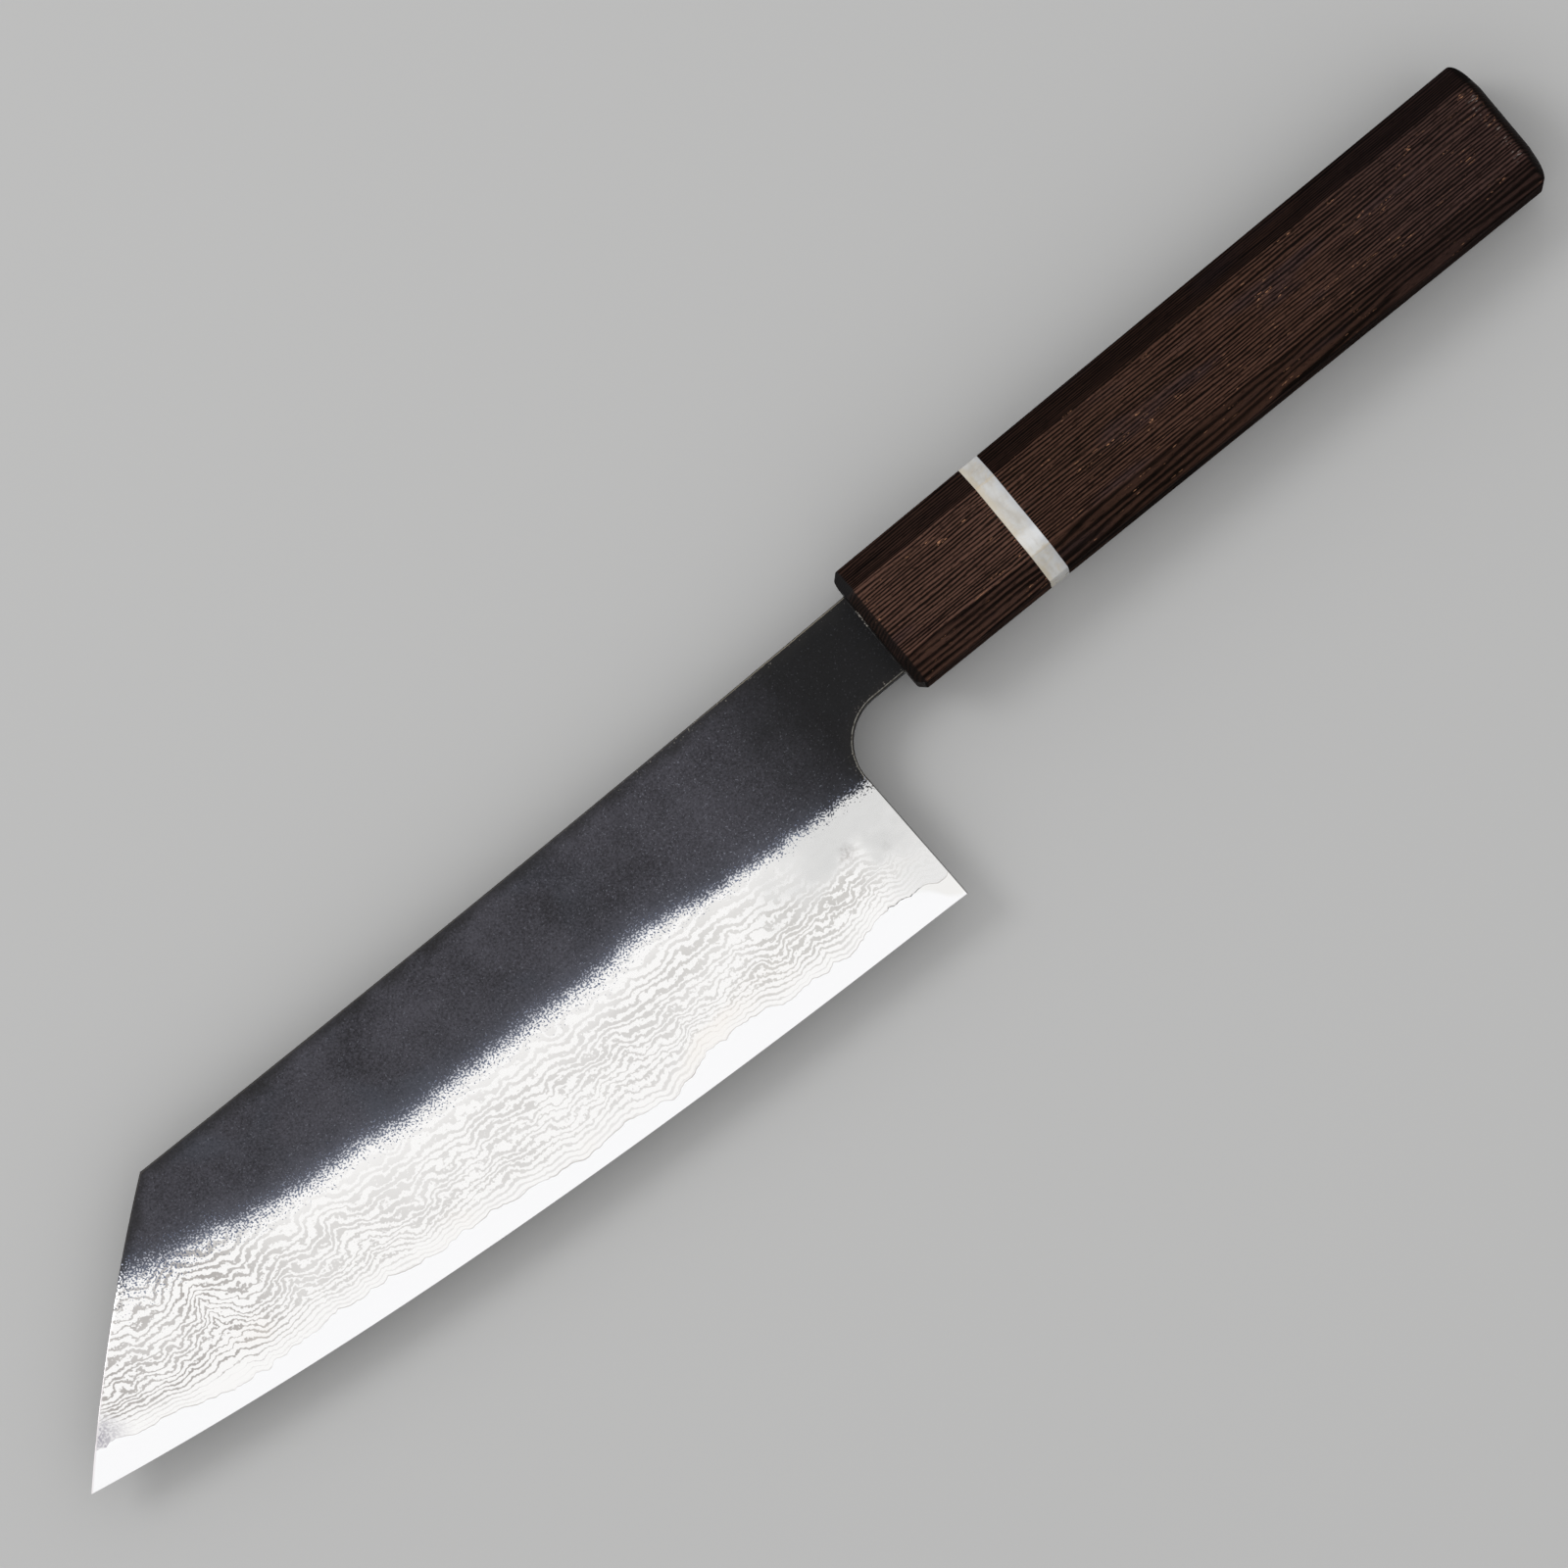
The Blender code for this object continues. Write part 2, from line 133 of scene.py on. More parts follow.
# Height of the core steel's wavy upper line above the cutting edge, at places along the blade
LAMINATION = [
    (-183.0, 6.4), (-172.0, 5.4), (-164.0, 5.1), (-157.0, 3.6), (-149.0, 3.4), (-134.0, 4.6), (-117.0, 4.6),
    (-102.0, 3.9), (-87.0, 2.8), (-80.0, 3.4), (-72.0, 2.8), (-62.0, 4.6), (-55.0, 5.2), (-46.0, 3.9),
    (-37.0, 3.8), (-24.8, 5.6), (-18.0, 4.5), (-12.0, 4.5),
]
LAMINATION_RIPPLE = 0.85  # height of the small ripples on that line
LAYERS_FREED = 7.0  # height above that line at which the pattern's layers no longer follow it
MEAN_BAND = 4.2
BLADE_TOP = 40.0  # stands for a height well above that line
COVER_SLOPE = 0.4  # how fast the cladding thickens above that line, up to its share of the half blade
COVER_SHARE = 0.35

# Height of the line where the grinding stops and the forge scale begins, at places along the blade
SCALE_LINE = [
    (-170.0, 2.5), (-157.0, -3.3), (-149.0, -5.4), (-142.6, -6.1), (-136.4, -8.1), (-124.0, -9.9),
    (-114.7, -10.5), (-105.4, -12.1), (-93.0, -12.3), (-80.6, -12.6), (-68.2, -13.4), (-59.0, -12.8),
    (-52.7, -13.7), (-43.4, -15.1), (-31.0, -16.0), (-18.6, -16.7), (-8.0, -17.5),
]

# Fineness of the meshes
TRACE_STEPS = 400
HALVINGS = 30
BLADE_COLUMNS = 380
BAND_ROWS = 8
GROUND_ROWS = 26
SCALE_ROWS = 20
FILLET_STEPS = 18
NECK_STEPS = 14
TANG_STEPS = 6
RIM_STEPS = (0.03, 0.08, 0.15, 0.28)
CROWN_STEPS = 20
CORNER_STEPS = 5
JOINT_STEPS = 4
SEAL_STEPS = 40
DOWEL_SIDES = 64
TANG_BORE_SIDES = 32
SHARP_ANGLE = math.radians(30)

# The claddings' map: shares of its width up to the blade, the tang and the end, and of its height
MAP_WIDTHS = (0.01, 0.955, 0.99)
MAP_SHOWN = (0.22, 0.99)
MAP_HIDDEN = (0.07, 0.20)
MAP_WALL = 0.034
MAP_CHOIL_WALL = 0.002
MAP_WALL_STRETCH = 0.02
MAP_WALL_HALF = 1.4  # a wall is mapped up to this distance from the middle, in millimetres
MAP_CHOIL_START = -52.0  # x + y where the choil's wall begins, and how much of it fills the width
MAP_CHOIL_ROOM = 150.0

HEEL = Vector((HEEL_X, HEEL_Y))
TIP = Vector((TIP_X, HEEL_Y + TIP_RISE))
CORNER = Vector((SPINE_END_X, SPINE_Y))
NECK_LOW = SPINE_Y - NECK_HEIGHT
CHOIL_TOP = Vector((HEEL_X - CHOIL_LEAN, NECK_LOW - CHOIL_RADIUS))
FILLET_CENTRE = CHOIL_TOP + Vector((CHOIL_RADIUS, 0))
TIP_LINE = CORNER - TIP


def mix(a, b, share):
    return a + (b - a) * share


def smooth_step(low, high, value):
    share = min(max((value - low) / (high - low), 0), 1)
    return share * share * (3 - 2 * share)


def curve_through(points, x):
    """A smooth line through points, monotone between each two of them."""
    steps = [(b[1] - a[1]) / (b[0] - a[0]) for a, b in zip(points, points[1:])]
    slopes = [steps[0]]
    for before, after in zip(steps, steps[1:]):
        slopes.append(0 if before * after <= 0 else 2 * before * after / (before + after))
    slopes.append(steps[-1])
    if x <= points[0][0]:
        return points[0][1] + (x - points[0][0]) * slopes[0]
    for i in range(len(steps)):
        (x0, y0), (x1, y1) = points[i], points[i + 1]
        if x <= x1:
            width = x1 - x0
            t = (x - x0) / width
            rise = y0 * (1 + 2 * t) * (1 - t) ** 2 + y1 * t * t * (3 - 2 * t)
            return rise + width * (slopes[i] * t * (1 - t) ** 2 - slopes[i + 1] * t * t * (1 - t))
    return points[-1][1] + (x - points[-1][0]) * slopes[-1]


def placed(x, y, z):
    return KNIFE + Vector((x, y, z)) * MM


# Outline of the blade


def spine_point(x):
    share = x / SPINE_END_X
    return Vector((x, SPINE_Y - SPINE_DIP * 4 * share * (1 - share)))


def edge_point(share):
    past_tip = TIP + TIP_PULL * Vector((math.cos(TIP_ANGLE), -math.sin(TIP_ANGLE)))
    before_heel = HEEL + HEEL_PULL * Vector((-math.cos(HEEL_ANGLE), math.sin(HEEL_ANGLE)))
    rest = 1 - share
    return rest**3 * TIP + share**3 * HEEL + 3 * rest * share * (rest * past_tip + share * before_heel)


EDGE_TRACE = [edge_point(i / TRACE_STEPS) for i in range(TRACE_STEPS + 1)]


def edge_height(x):
    """Where the cutting edge lies at x. Behind the heel it stays at the heel's height."""
    if x <= TIP.x:
        return TIP.y
    i = bisect.bisect_left(EDGE_TRACE, x, key=lambda point: point.x)
    if i == len(EDGE_TRACE):
        return HEEL_Y
    before, after = EDGE_TRACE[i - 1], EDGE_TRACE[i]
    return mix(before.y, after.y, (x - before.x) / (after.x - before.x))


def choil_spine_x():
    rise = (SPINE_Y - HEEL_Y) / (CHOIL_TOP.y - HEEL_Y)
    return HEEL_X - CHOIL_LEAN * rise


def rim_distance(point):
    """How far a point of the blade lies inside its outline, apart from the cutting edge."""
    found = [spine_point(point.x).y - point.y]
    along = (point - TIP).dot(TIP_LINE) / TIP_LINE.length_squared
    outward = Vector((-TIP_LINE.y, TIP_LINE.x)).normalized()
    found.append(TIP_LINE_BOW * 4 * along * (1 - along) - (point - TIP).dot(outward))
    if point.y < CHOIL_TOP.y:
        face = CHOIL_TOP - HEEL
        found.append(-(point - HEEL).dot(Vector((face.y, -face.x)).normalized()))
    elif point.x < FILLET_CENTRE.x:
        found.append((point - FILLET_CENTRE).length - CHOIL_RADIUS)
    else:
        found.append(point.y - NECK_LOW)
    return max(min(found), 0)


def above_scale_line(point):
    """Distance above the line where the forge scale begins. Behind the blade it is the scale everywhere."""
    step = 0.5
    before, after = [curve_through(SCALE_LINE, point.x + x) for x in (-step, step)]
    slope = (after - before) / 2 / step
    return (point.y - curve_through(SCALE_LINE, point.x)) / math.hypot(1, slope)


# Ribs: each is a list of (row, point, half thickness, height above the core steel's line)


TANG_SHARES = [(side * TANG_HEIGHT / 2 - NECK_LOW) / NECK_HEIGHT for side in (-1, 1)]


def upper_rows():
    """Names and shares of the rows between the scale line's rib point (0) and the spine (1)."""
    low, high = TANG_SHARES
    rows = [("rim", step) for step in RIM_STEPS]
    inner = [low * (i + 1) / 4 for i in range(1, 3)]
    inner += [mix(low, high, i / (SCALE_ROWS - 8)) for i in range(SCALE_ROWS - 7)]
    inner += [mix(high, 1, i / 4) for i in range(1, 4)]
    rows += [("share", share) for share in inner]
    rows += [("spine", step) for step in reversed(RIM_STEPS)]
    return [("share", 0)] + rows + [("share", 1)]


UPPER_ROWS = upper_rows()


def upper_share(row, length):
    kind, value = row
    if kind == "rim":
        return value / length
    return 1 - value / length if kind == "spine" else value


def lamination_height(x):
    ripple = noise.fractal((x / 3.9, 4.7, 1.3), 0.75, 2.1, 4)
    return curve_through(LAMINATION, x) + LAMINATION_RIPPLE * ripple


def above_core_line(point):
    return point.y - edge_height(point.x) - lamination_height(point.x)


def pattern_height(point):
    """Height above the core steel's line, which the layers follow less and less the higher they lie."""
    freed = smooth_step(0, LAYERS_FREED, above_core_line(point))
    return point.y - edge_height(point.x) - mix(lamination_height(point.x), MEAN_BAND, freed)


def blade_rib(share):
    low = edge_point(share)
    high = spine_point(mix(SPINE_END_X, choil_spine_x(), share))
    rib = high - low
    length = rib.length
    bow = Vector((-rib.y, rib.x)).normalized() * TIP_LINE_BOW * (1 - share) ** BOW_FADE
    spine_half = mix(CORNER_THICKNESS, HEEL_THICKNESS, share) / 2
    core_at = mix(CORE_BAND, CORE_BAND_TIP, (1 - share) ** CORE_BAND_FADE)
    choil_at = (CHOIL_TOP.y - HEEL_Y) / (high.y - HEEL_Y)
    scale_at = mix(choil_at, SCALE_LINE_TIP / TIP_LINE.length, (1 - share) ** SCALE_LINE_FADE)
    profile = [
        (EDGE_BEVEL_WIDTH, EDGE_BEVEL_THICKNESS / 2),
        (core_at, CORE_HALF),
        (scale_at * length, spine_half * SCALE_LINE_THINNING),
        (length, spine_half),
    ]

    def rib_point(place):
        at = place / length
        return low + rib * at + bow * 4 * at * (1 - at)

    below, above = 0.0, scale_at * length
    for _ in range(HALVINGS):
        band = (below + above) / 2
        if above_core_line(rib_point(band)) < 0:
            below = band
        else:
            above = band
    places = [0.0, EDGE_BEVEL_WIDTH]
    places += [mix(EDGE_BEVEL_WIDTH, band, i / BAND_ROWS) for i in range(1, BAND_ROWS)]
    rows = [("band", i) for i in range(len(places))]
    places += [mix(band, scale_at * length, i / GROUND_ROWS) for i in range(GROUND_ROWS)]
    rows += [("ground", i) for i in range(GROUND_ROWS)]
    upper = (1 - scale_at) * length
    places += [scale_at * length + upper * upper_share(row, upper) for row in UPPER_ROWS]
    rows += [("upper", i) for i in range(len(UPPER_ROWS))]
    made = []
    for row, place in zip(rows, places):
        half = 0.0 if place == 0 else curve_through(profile, place)
        made.append((row, rib_point(place), half, place - band))
    return made


def neck_rib(low):
    share = 1 - low.x / CHOIL_TOP.x
    high = spine_point(choil_spine_x() * (1 - share))
    high_half = mix(HEEL_THICKNESS, NECK_THICKNESS, share) / 2
    low_half = high_half * mix(SCALE_LINE_THINNING, 1, share)
    length = (high - low).length
    made = []
    for i, row in enumerate(UPPER_ROWS):
        at = upper_share(row, length)
        made.append((("upper", i), low.lerp(high, at), mix(low_half, high_half, at), BLADE_TOP))
    return made


def neck_ribs():
    made = []
    for i in range(1, FILLET_STEPS + 1):
        turn = math.pi / 2 * i / FILLET_STEPS
        made.append(neck_rib(FILLET_CENTRE + CHOIL_RADIUS * Vector((-math.cos(turn), math.sin(turn)))))
    for i in range(1, NECK_STEPS + 1):
        made.append(neck_rib(Vector((mix(FILLET_CENTRE.x, 0, i / NECK_STEPS), NECK_LOW))))
    return made


def tang_size(x):
    share = x / TANG_END
    height = mix(TANG_HEIGHT, TANG_END_HEIGHT, share)
    return height, mix(NECK_THICKNESS, TANG_END_THICKNESS, share)


def tang_rib(x):
    height, thickness = tang_size(x)
    low, high = TANG_SHARES
    made = []
    for i, (kind, share) in enumerate(UPPER_ROWS):
        if kind == "share" and low <= share <= high:
            up = (share - low) / (high - low)
            made.append((("upper", i), Vector((x, height * (up - 0.5))), thickness / 2, BLADE_TOP))
    return made


def blade_shares():
    """Places of the ribs along the cutting edge, closer together at its two ends."""
    near = [step / (HEEL - TIP).length for step in RIM_STEPS]
    middle = [i / BLADE_COLUMNS for i in range(1, BLADE_COLUMNS)]
    return [0, *near, *middle[1:-1], *[1 - share for share in reversed(near)], 1]


def all_ribs():
    ribs = [blade_rib(share) for share in blade_shares()]
    ribs += neck_ribs()
    return ribs + [tang_rib(TANG_END * i / TANG_STEPS) for i in range(1, TANG_STEPS + 1)]


# Surfaces of the laminate


def core_face(half, above):
    """Half thickness of the core steel: its ground face below its line, and its side under the cladding."""
    if above <= 0:
        return half
    return min(half - min(COVER_SLOPE * above, COVER_SHARE * half), CORE_HALF)


def outer_face(point, half, side):
    """Half thickness of the whole blade, with its worn corners and the unevenness that forging left."""
    inside = rim_distance(point)
    ease = min(RIM_EASE, RIM_EASE_SHARE * max(half - CORE_HALF, 0))
    worn = 0.0
    if inside < ease:
        worn = ease - math.sqrt(ease**2 - (ease - inside) ** 2)
    if point.x > 0:
        return half - worn
    forged = smooth_step(0, 4, above_scale_line(point)) * smooth_step(0.2, 1.5, inside)
    spot = Vector((point.x, point.y, SIDE_SEED * side))
    uneven = sum(height * noise.noise(spot / width) for height, width in FORGED_WAVES)
    return half - worn + forged * uneven


def write_mesh(name, points, faces):
    mesh = bpy.data.meshes.new(name)
    mesh.from_pydata([placed(*p) for p in points], [], faces)
    mesh.validate()
    mesh.shade_smooth()
    mesh.set_sharp_from_angle(angle=SHARP_ANGLE)
    piece = bpy.data.objects.new(name, mesh)
    bpy.context.scene.collection.objects.link(piece)
    return piece


def laminate_piece(name, ribs, kinds, upper_z, lower_z):
    """A closed layer over the rows of the given kinds. upper_z and lower_z give its two faces."""
    points, marks, index = [], [], {}
    for i, rib in enumerate(ribs):
        for row, point, half, above in rib:
            if row[0] not in kinds:
                continue
            top, bottom = upper_z(point, half, above), lower_z(point, half, above)
            mark = (point.x, pattern_height(point), above_scale_line(point), rim_distance(point))
            for face, z in (("top", top), ("bottom", bottom)):
                if face == "top" or top != bottom:
                    points.append((point.x, point.y, z))
                    marks.append((*mark, half - abs(z)))
                index[face, i, row] = len(points) - 1
    faces, rim = [], set()
    for i in range(len(ribs) - 1):
        here = [row for row, *_ in ribs[i] if row[0] in kinds]
        there = {row for row, *_ in ribs[i + 1]}
        for row, above in zip(here, here[1:]):
            if row not in there or above not in there:
                continue
            cell = [(i, row), (i + 1, row), (i + 1, above), (i, above)]
            faces.append([index["top", *c] for c in cell])
            faces.append([index["bottom", *c] for c in reversed(cell)])
            for side in zip(cell, cell[1:] + cell[:1]):
                if side[::-1] in rim:
                    rim.remove(side[::-1])
                else:
                    rim.add(side)
    for start, end in sorted(rim):
        wall = [index["bottom", *start], index["bottom", *end], index["top", *end], index["top", *start]]
        wall = list(dict.fromkeys(wall))
        if len(wall) > 2:
            faces.append(wall)
    piece = write_mesh(name, points, faces)
    steel = piece.data.attributes.new("steel", "FLOAT_VECTOR", "POINT")
    steel.data.foreach_set("vector", [value for mark in marks for value in mark[:3]])
    wear = piece.data.attributes.new("wear", "FLOAT_VECTOR", "POINT")
    wear.data.foreach_set("vector", [value for mark in marks for value in (*mark[3:], 0.0)])
    return piece


def map_for_baking(piece, side):
    """A flat map that gives nearly all its room to the shown face, and little to the hidden tang."""
    left, neck, right = MAP_WIDTHS
    mesh = piece.data
    places = [(v.co - KNIFE) / MM for v in mesh.vertices]
    spots = mesh.uv_layers.new(name="OFBake").data
    for polygon in mesh.polygons:
        middle = sum((places[v] for v in polygon.vertices), Vector()) / len(polygon.vertices)
        wall = abs(polygon.normal.z) < 0.5
        choil_wall = wall and middle.x > HEEL_X - 5 and middle.y < 0
        rows = MAP_SHOWN if polygon.normal.z * side > 0 else MAP_HIDDEN
        for loop in polygon.loop_indices:
            x, y, z = places[mesh.loops[loop].vertex_index]
            u = mix(left, neck, 1 - x / TIP_X) if x < 0 else mix(neck, right, x / TANG_END)
            v = mix(*rows, (y - HEEL_Y) / (SPINE_Y - HEEL_Y))
            if wall:
                v = MAP_WALL + MAP_WALL_STRETCH * min(abs(z), MAP_WALL_HALF)
            if choil_wall:
                u = mix(left, right, (x + y - MAP_CHOIL_START) / MAP_CHOIL_ROOM)
                v += MAP_CHOIL_WALL - MAP_WALL
            spots[loop].uv = (u, v)


def stand_for(piece, node, material):
    piece.data.materials.clear()
    piece.data.materials.append(material)
    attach(piece, BODY)
    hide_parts(node)


def core_side(side):
    return lambda point, half, above: side * core_face(half, above)


def outer_side(side):
    return lambda point, half, above: side * outer_face(point, half, side)


def make_blade():
    ribs = all_ribs()
    faces = [core_side(1), core_side(-1)]
    core = laminate_piece("core_steel_layer", ribs, ("band", "ground", "upper"), *faces)
    stand_for(core, "blade_core", blade_look("core_finish", LEFT_SEED))
    for side, word, seed in ((1, "left", LEFT_SEED), (-1, "right", RIGHT_SEED)):
        # On the left the outer face is the upper one, on the right it is the lower one
        faces = [outer_side(side), core_side(side)][::side]
        cladding = laminate_piece(f"{word}_patterned_layer", ribs, ("ground", "upper"), *faces)
        map_for_baking(cladding, side)
        stand_for(cladding, f"cladding_{word}", blade_look(f"{word}_finish", seed))


# Handle


def octagon(x, inset):
    """The handle's section, drawn in by inset, with a small arc on each of its eight corners."""
    side_y = mix(HANDLE_HEIGHT_FRONT, HANDLE_HEIGHT_BUTT, x / BUTT_X) / 2 - inset
    side_z = HANDLE_THICKNESS / 2 - inset
    cut = mix(CORNER_CUT_FRONT, CORNER_CUT_BUTT, x / BUTT_X) - (2 - math.sqrt(2)) * inset
    flat_y, flat_z = side_y - cut, side_z - cut
    upper = [(side_y, flat_z), (flat_y, side_z), (-flat_y, side_z), (-side_y, flat_z)]
    corners = [side * Vector(c) for side in (1, -1) for c in upper]
    section = []
    for i, corner in enumerate(corners):
        start = corner + (corners[i - 1] - corner).normalized() * FACET_EASE
        end = corner + (corners[(i + 1) % 8] - corner).normalized() * FACET_EASE
        for step in range(CORNER_STEPS + 1):
            t = step / CORNER_STEPS
            point = start * (1 - t) ** 2 + corner * 2 * t * (1 - t) + end * t * t
            section.append((x, point.x, point.y))
    return section


def handle_block(name, profile):
    """A closed block through a row of sections, each an x and an inset."""
    rings = [octagon(x, inset) for x, inset in profile]
    count = len(rings[0])
    points = [p for ring in rings for p in ring]
    faces = [list(range(count))[::-1], [(len(rings) - 1) * count + i for i in range(count)]]
    for r in range(len(rings) - 1):
        for i in range(count):
            j = (i + 1) % count
            faces.append([r * count + i, r * count + j, (r + 1) * count + j, (r + 1) * count + i])
    return write_mesh(name, points, faces)


def joint_edge(x, towards):
    """The rubbed-down edge of a block at a joint. The block lies behind x (towards 1) or before it (-1)."""
    made = []
    for i in range(JOINT_STEPS + 1):
        turn = math.pi / 2 * i / JOINT_STEPS
        made.append((x + towards * JOINT_EASE * (1 - math.cos(turn)), JOINT_EASE * (1 - math.sin(turn))))
    return made if towards > 0 else made[::-1]


def cut(piece, shapes):
    """Takes shapes out of a piece, and throws the cutters away."""
    for shape in shapes:
        modifier = piece.modifiers.new("cut", "BOOLEAN")
        modifier.object = shape
        modifier.solver = "EXACT"
    graph = bpy.context.evaluated_depsgraph_get()
    finished = bpy.data.meshes.new_from_object(piece.evaluated_get(graph))
    piece.modifiers.clear()
    piece.data = finished
    for shape in shapes:
        bpy.data.objects.remove(shape)
    piece.data.shade_smooth()
    piece.data.set_sharp_from_angle(angle=SHARP_ANGLE)

    # The large flat faces set the normals, so that the small arcs don't tilt their shading
    modifier = piece.modifiers.new("even shading", "WEIGHTED_NORMAL")
    modifier.keep_sharp = True


def rod(start, end, radius, sides):
    shape = bmesh.new()
    turn = Matrix.Rotation(math.pi / 2, 4, "Y")
    middle = Matrix.Translation(placed((start + end) / 2, 0, 0))
    bmesh.ops.create_cone(
        shape,
        cap_ends=True,
        segments=sides,
        radius1=radius * MM,
        radius2=radius * MM,
        depth=(end - start) * MM,
        matrix=middle @ turn,
    )
    return loose_shape("rod", shape)


def box(low, high):
    shape = bmesh.new()
    bmesh.ops.create_cube(shape, size=1)
    for vertex in shape.verts:
        corner = [b if side > 0 else a for side, a, b in zip(vertex.co, low, high)]
        vertex.co = placed(*corner)
    return loose_shape("box", shape)


def loose_shape(name, shape):
    mesh = bpy.data.meshes.new(name)
    shape.to_mesh(mesh)
    shape.free()
    item = bpy.data.objects.new(name, mesh)
    bpy.context.scene.collection.objects.link(item)
    return item


def dowel_bore():
    return rod(DOWEL_START - FIT_GAP, DOWEL_END + FIT_GAP, DOWEL_RADIUS + FIT_GAP, DOWEL_SIDES)


def make_ferrule():
    ease = CHAMFER_EASE
    eased = ease * math.tan(math.atan2(FRONT_CHAMFER_INSET, FRONT_CHAMFER_DEPTH))
    profile = [
        (0, FRONT_CHAMFER_INSET + 2 * ease),
        (0.03, FRONT_CHAMFER_INSET + 0.6 * ease),
        (ease, FRONT_CHAMFER_INSET - eased),
        (FRONT_CHAMFER_DEPTH - ease, eased),
        (FRONT_CHAMFER_DEPTH - 0.2 * ease, 0.3 * eased),
        (FRONT_CHAMFER_DEPTH + ease, 0),
        *joint_edge(FERRULE_END, -1),
    ]
    block = handle_block("ferrule_block", profile)
    slot = box((-CLEAR, -SLOT_Y, -SLOT_Z), (DOWEL_START, SLOT_Y, SLOT_Z))
    pocket_z = NECK_THICKNESS / 2 + SEAL_SIDE
    pocket = box((-CLEAR, NECK_LOW - SEAL_RIM, -pocket_z), (SEAL_DEPTH, SPINE_Y + SEAL_RIM, pocket_z))
    cut(block, [dowel_bore(), slot, pocket])
    stand_for(block, "ferrule", wenge_look("ferrule_wood", FERRULE_WOOD))


def make_ring():
    ring = handle_block("ivory_ring", joint_edge(FERRULE_END, 1) + joint_edge(RING_END, -1))
    cut(ring, [dowel_bore()])
    stand_for(ring, "spacer_ring", ring_look())


def make_grip():
    profile = joint_edge(RING_END, 1)
    for i in range(CROWN_STEPS + 1):
        turn = math.pi / 2 * i / CROWN_STEPS
        x = BUTT_X - BUTT_CROWN_DEPTH * (1 - math.sin(turn))
        profile.append((x, BUTT_CROWN_INSET * (1 - math.cos(turn))))
    block = handle_block("grip_block", profile)
    bore_radius = math.hypot(*tang_size(DOWEL_END)) / 2 + FIT_GAP
    cut(block, [dowel_bore(), rod(DOWEL_END, TANG_END + FIT_GAP, bore_radius, TANG_BORE_SIDES)])
    stand_for(block, "grip", wenge_look("grip_wood", GRIP_WOOD))


def make_seal():
    """The resin round the neck, which creeps a little way up the steel."""
    half = NECK_THICKNESS / 2

    def loop(x, wider, ragged=0):
        return x, NECK_LOW - wider * SEAL_RIM, SPINE_Y + wider * SEAL_RIM, half + wider * SEAL_SIDE, ragged

    loops = [
        loop(SEAL_DEPTH, 1),
        loop(0.0, 1),
        loop(-0.03, 0.6, 0.04),
        loop(-0.12, 0.25, 0.10),
        loop(-SEAL_CLIMB, 0, 0.16),
        loop(0.0, 0),
        (0.0, -SLOT_Y, SLOT_Y, SLOT_Z, 0),
        (SEAL_DEPTH, -SLOT_Y, SLOT_Y, SLOT_Z, 0),
    ]
    points = []
    for x, low, high, side, ragged in loops:
        lap = [(low, -side), (high, -side), (high, side), (low, side)]
        for (y0, z0), (y1, z1) in zip(lap, lap[1:] + lap[:1]):
            for i in range(SEAL_STEPS):
                y, z = mix(y0, y1, i / SEAL_STEPS), mix(z0, z1, i / SEAL_STEPS)
                points.append((x - ragged * noise.noise(Vector((y, z, 0)) * 1.9), y, z))
    count = 4 * SEAL_STEPS
    faces = []
    for r in range(len(loops)):
        for i in range(count):
            j, after = (i + 1) % count, (r + 1) % len(loops)
            faces.append([r * count + i, after * count + i, after * count + j, r * count + j])
    bead = write_mesh("sealing_bead", points, faces)
    stand_for(bead, "tang_seal", seal_look())


# Materials


class Value:
    """A node's output. Sums, products and other terms with it add nodes."""

    def __init__(self, look, socket):
        self.look, self.socket = look, socket

    def __add__(self, other):
        return self.look.math("ADD", self, other)

    def __sub__(self, other):
        return self.look.math("SUBTRACT", self, other)

    def __rsub__(self, other):
        return self.look.math("SUBTRACT", other, self)

    def __mul__(self, other):
        return self.look.math("MULTIPLY", self, other)

    def __truediv__(self, other):
        return self.look.math("DIVIDE", self, other)

    def __abs__(self):
        return self.look.math("ABSOLUTE", self)

    __radd__ = __add__
    __rmul__ = __mul__


# Outputs of the texture coordinate node: a direction of the dome, and the place in an object's own frame
DOME_PLACE = 0
OBJECT_PLACE = 3


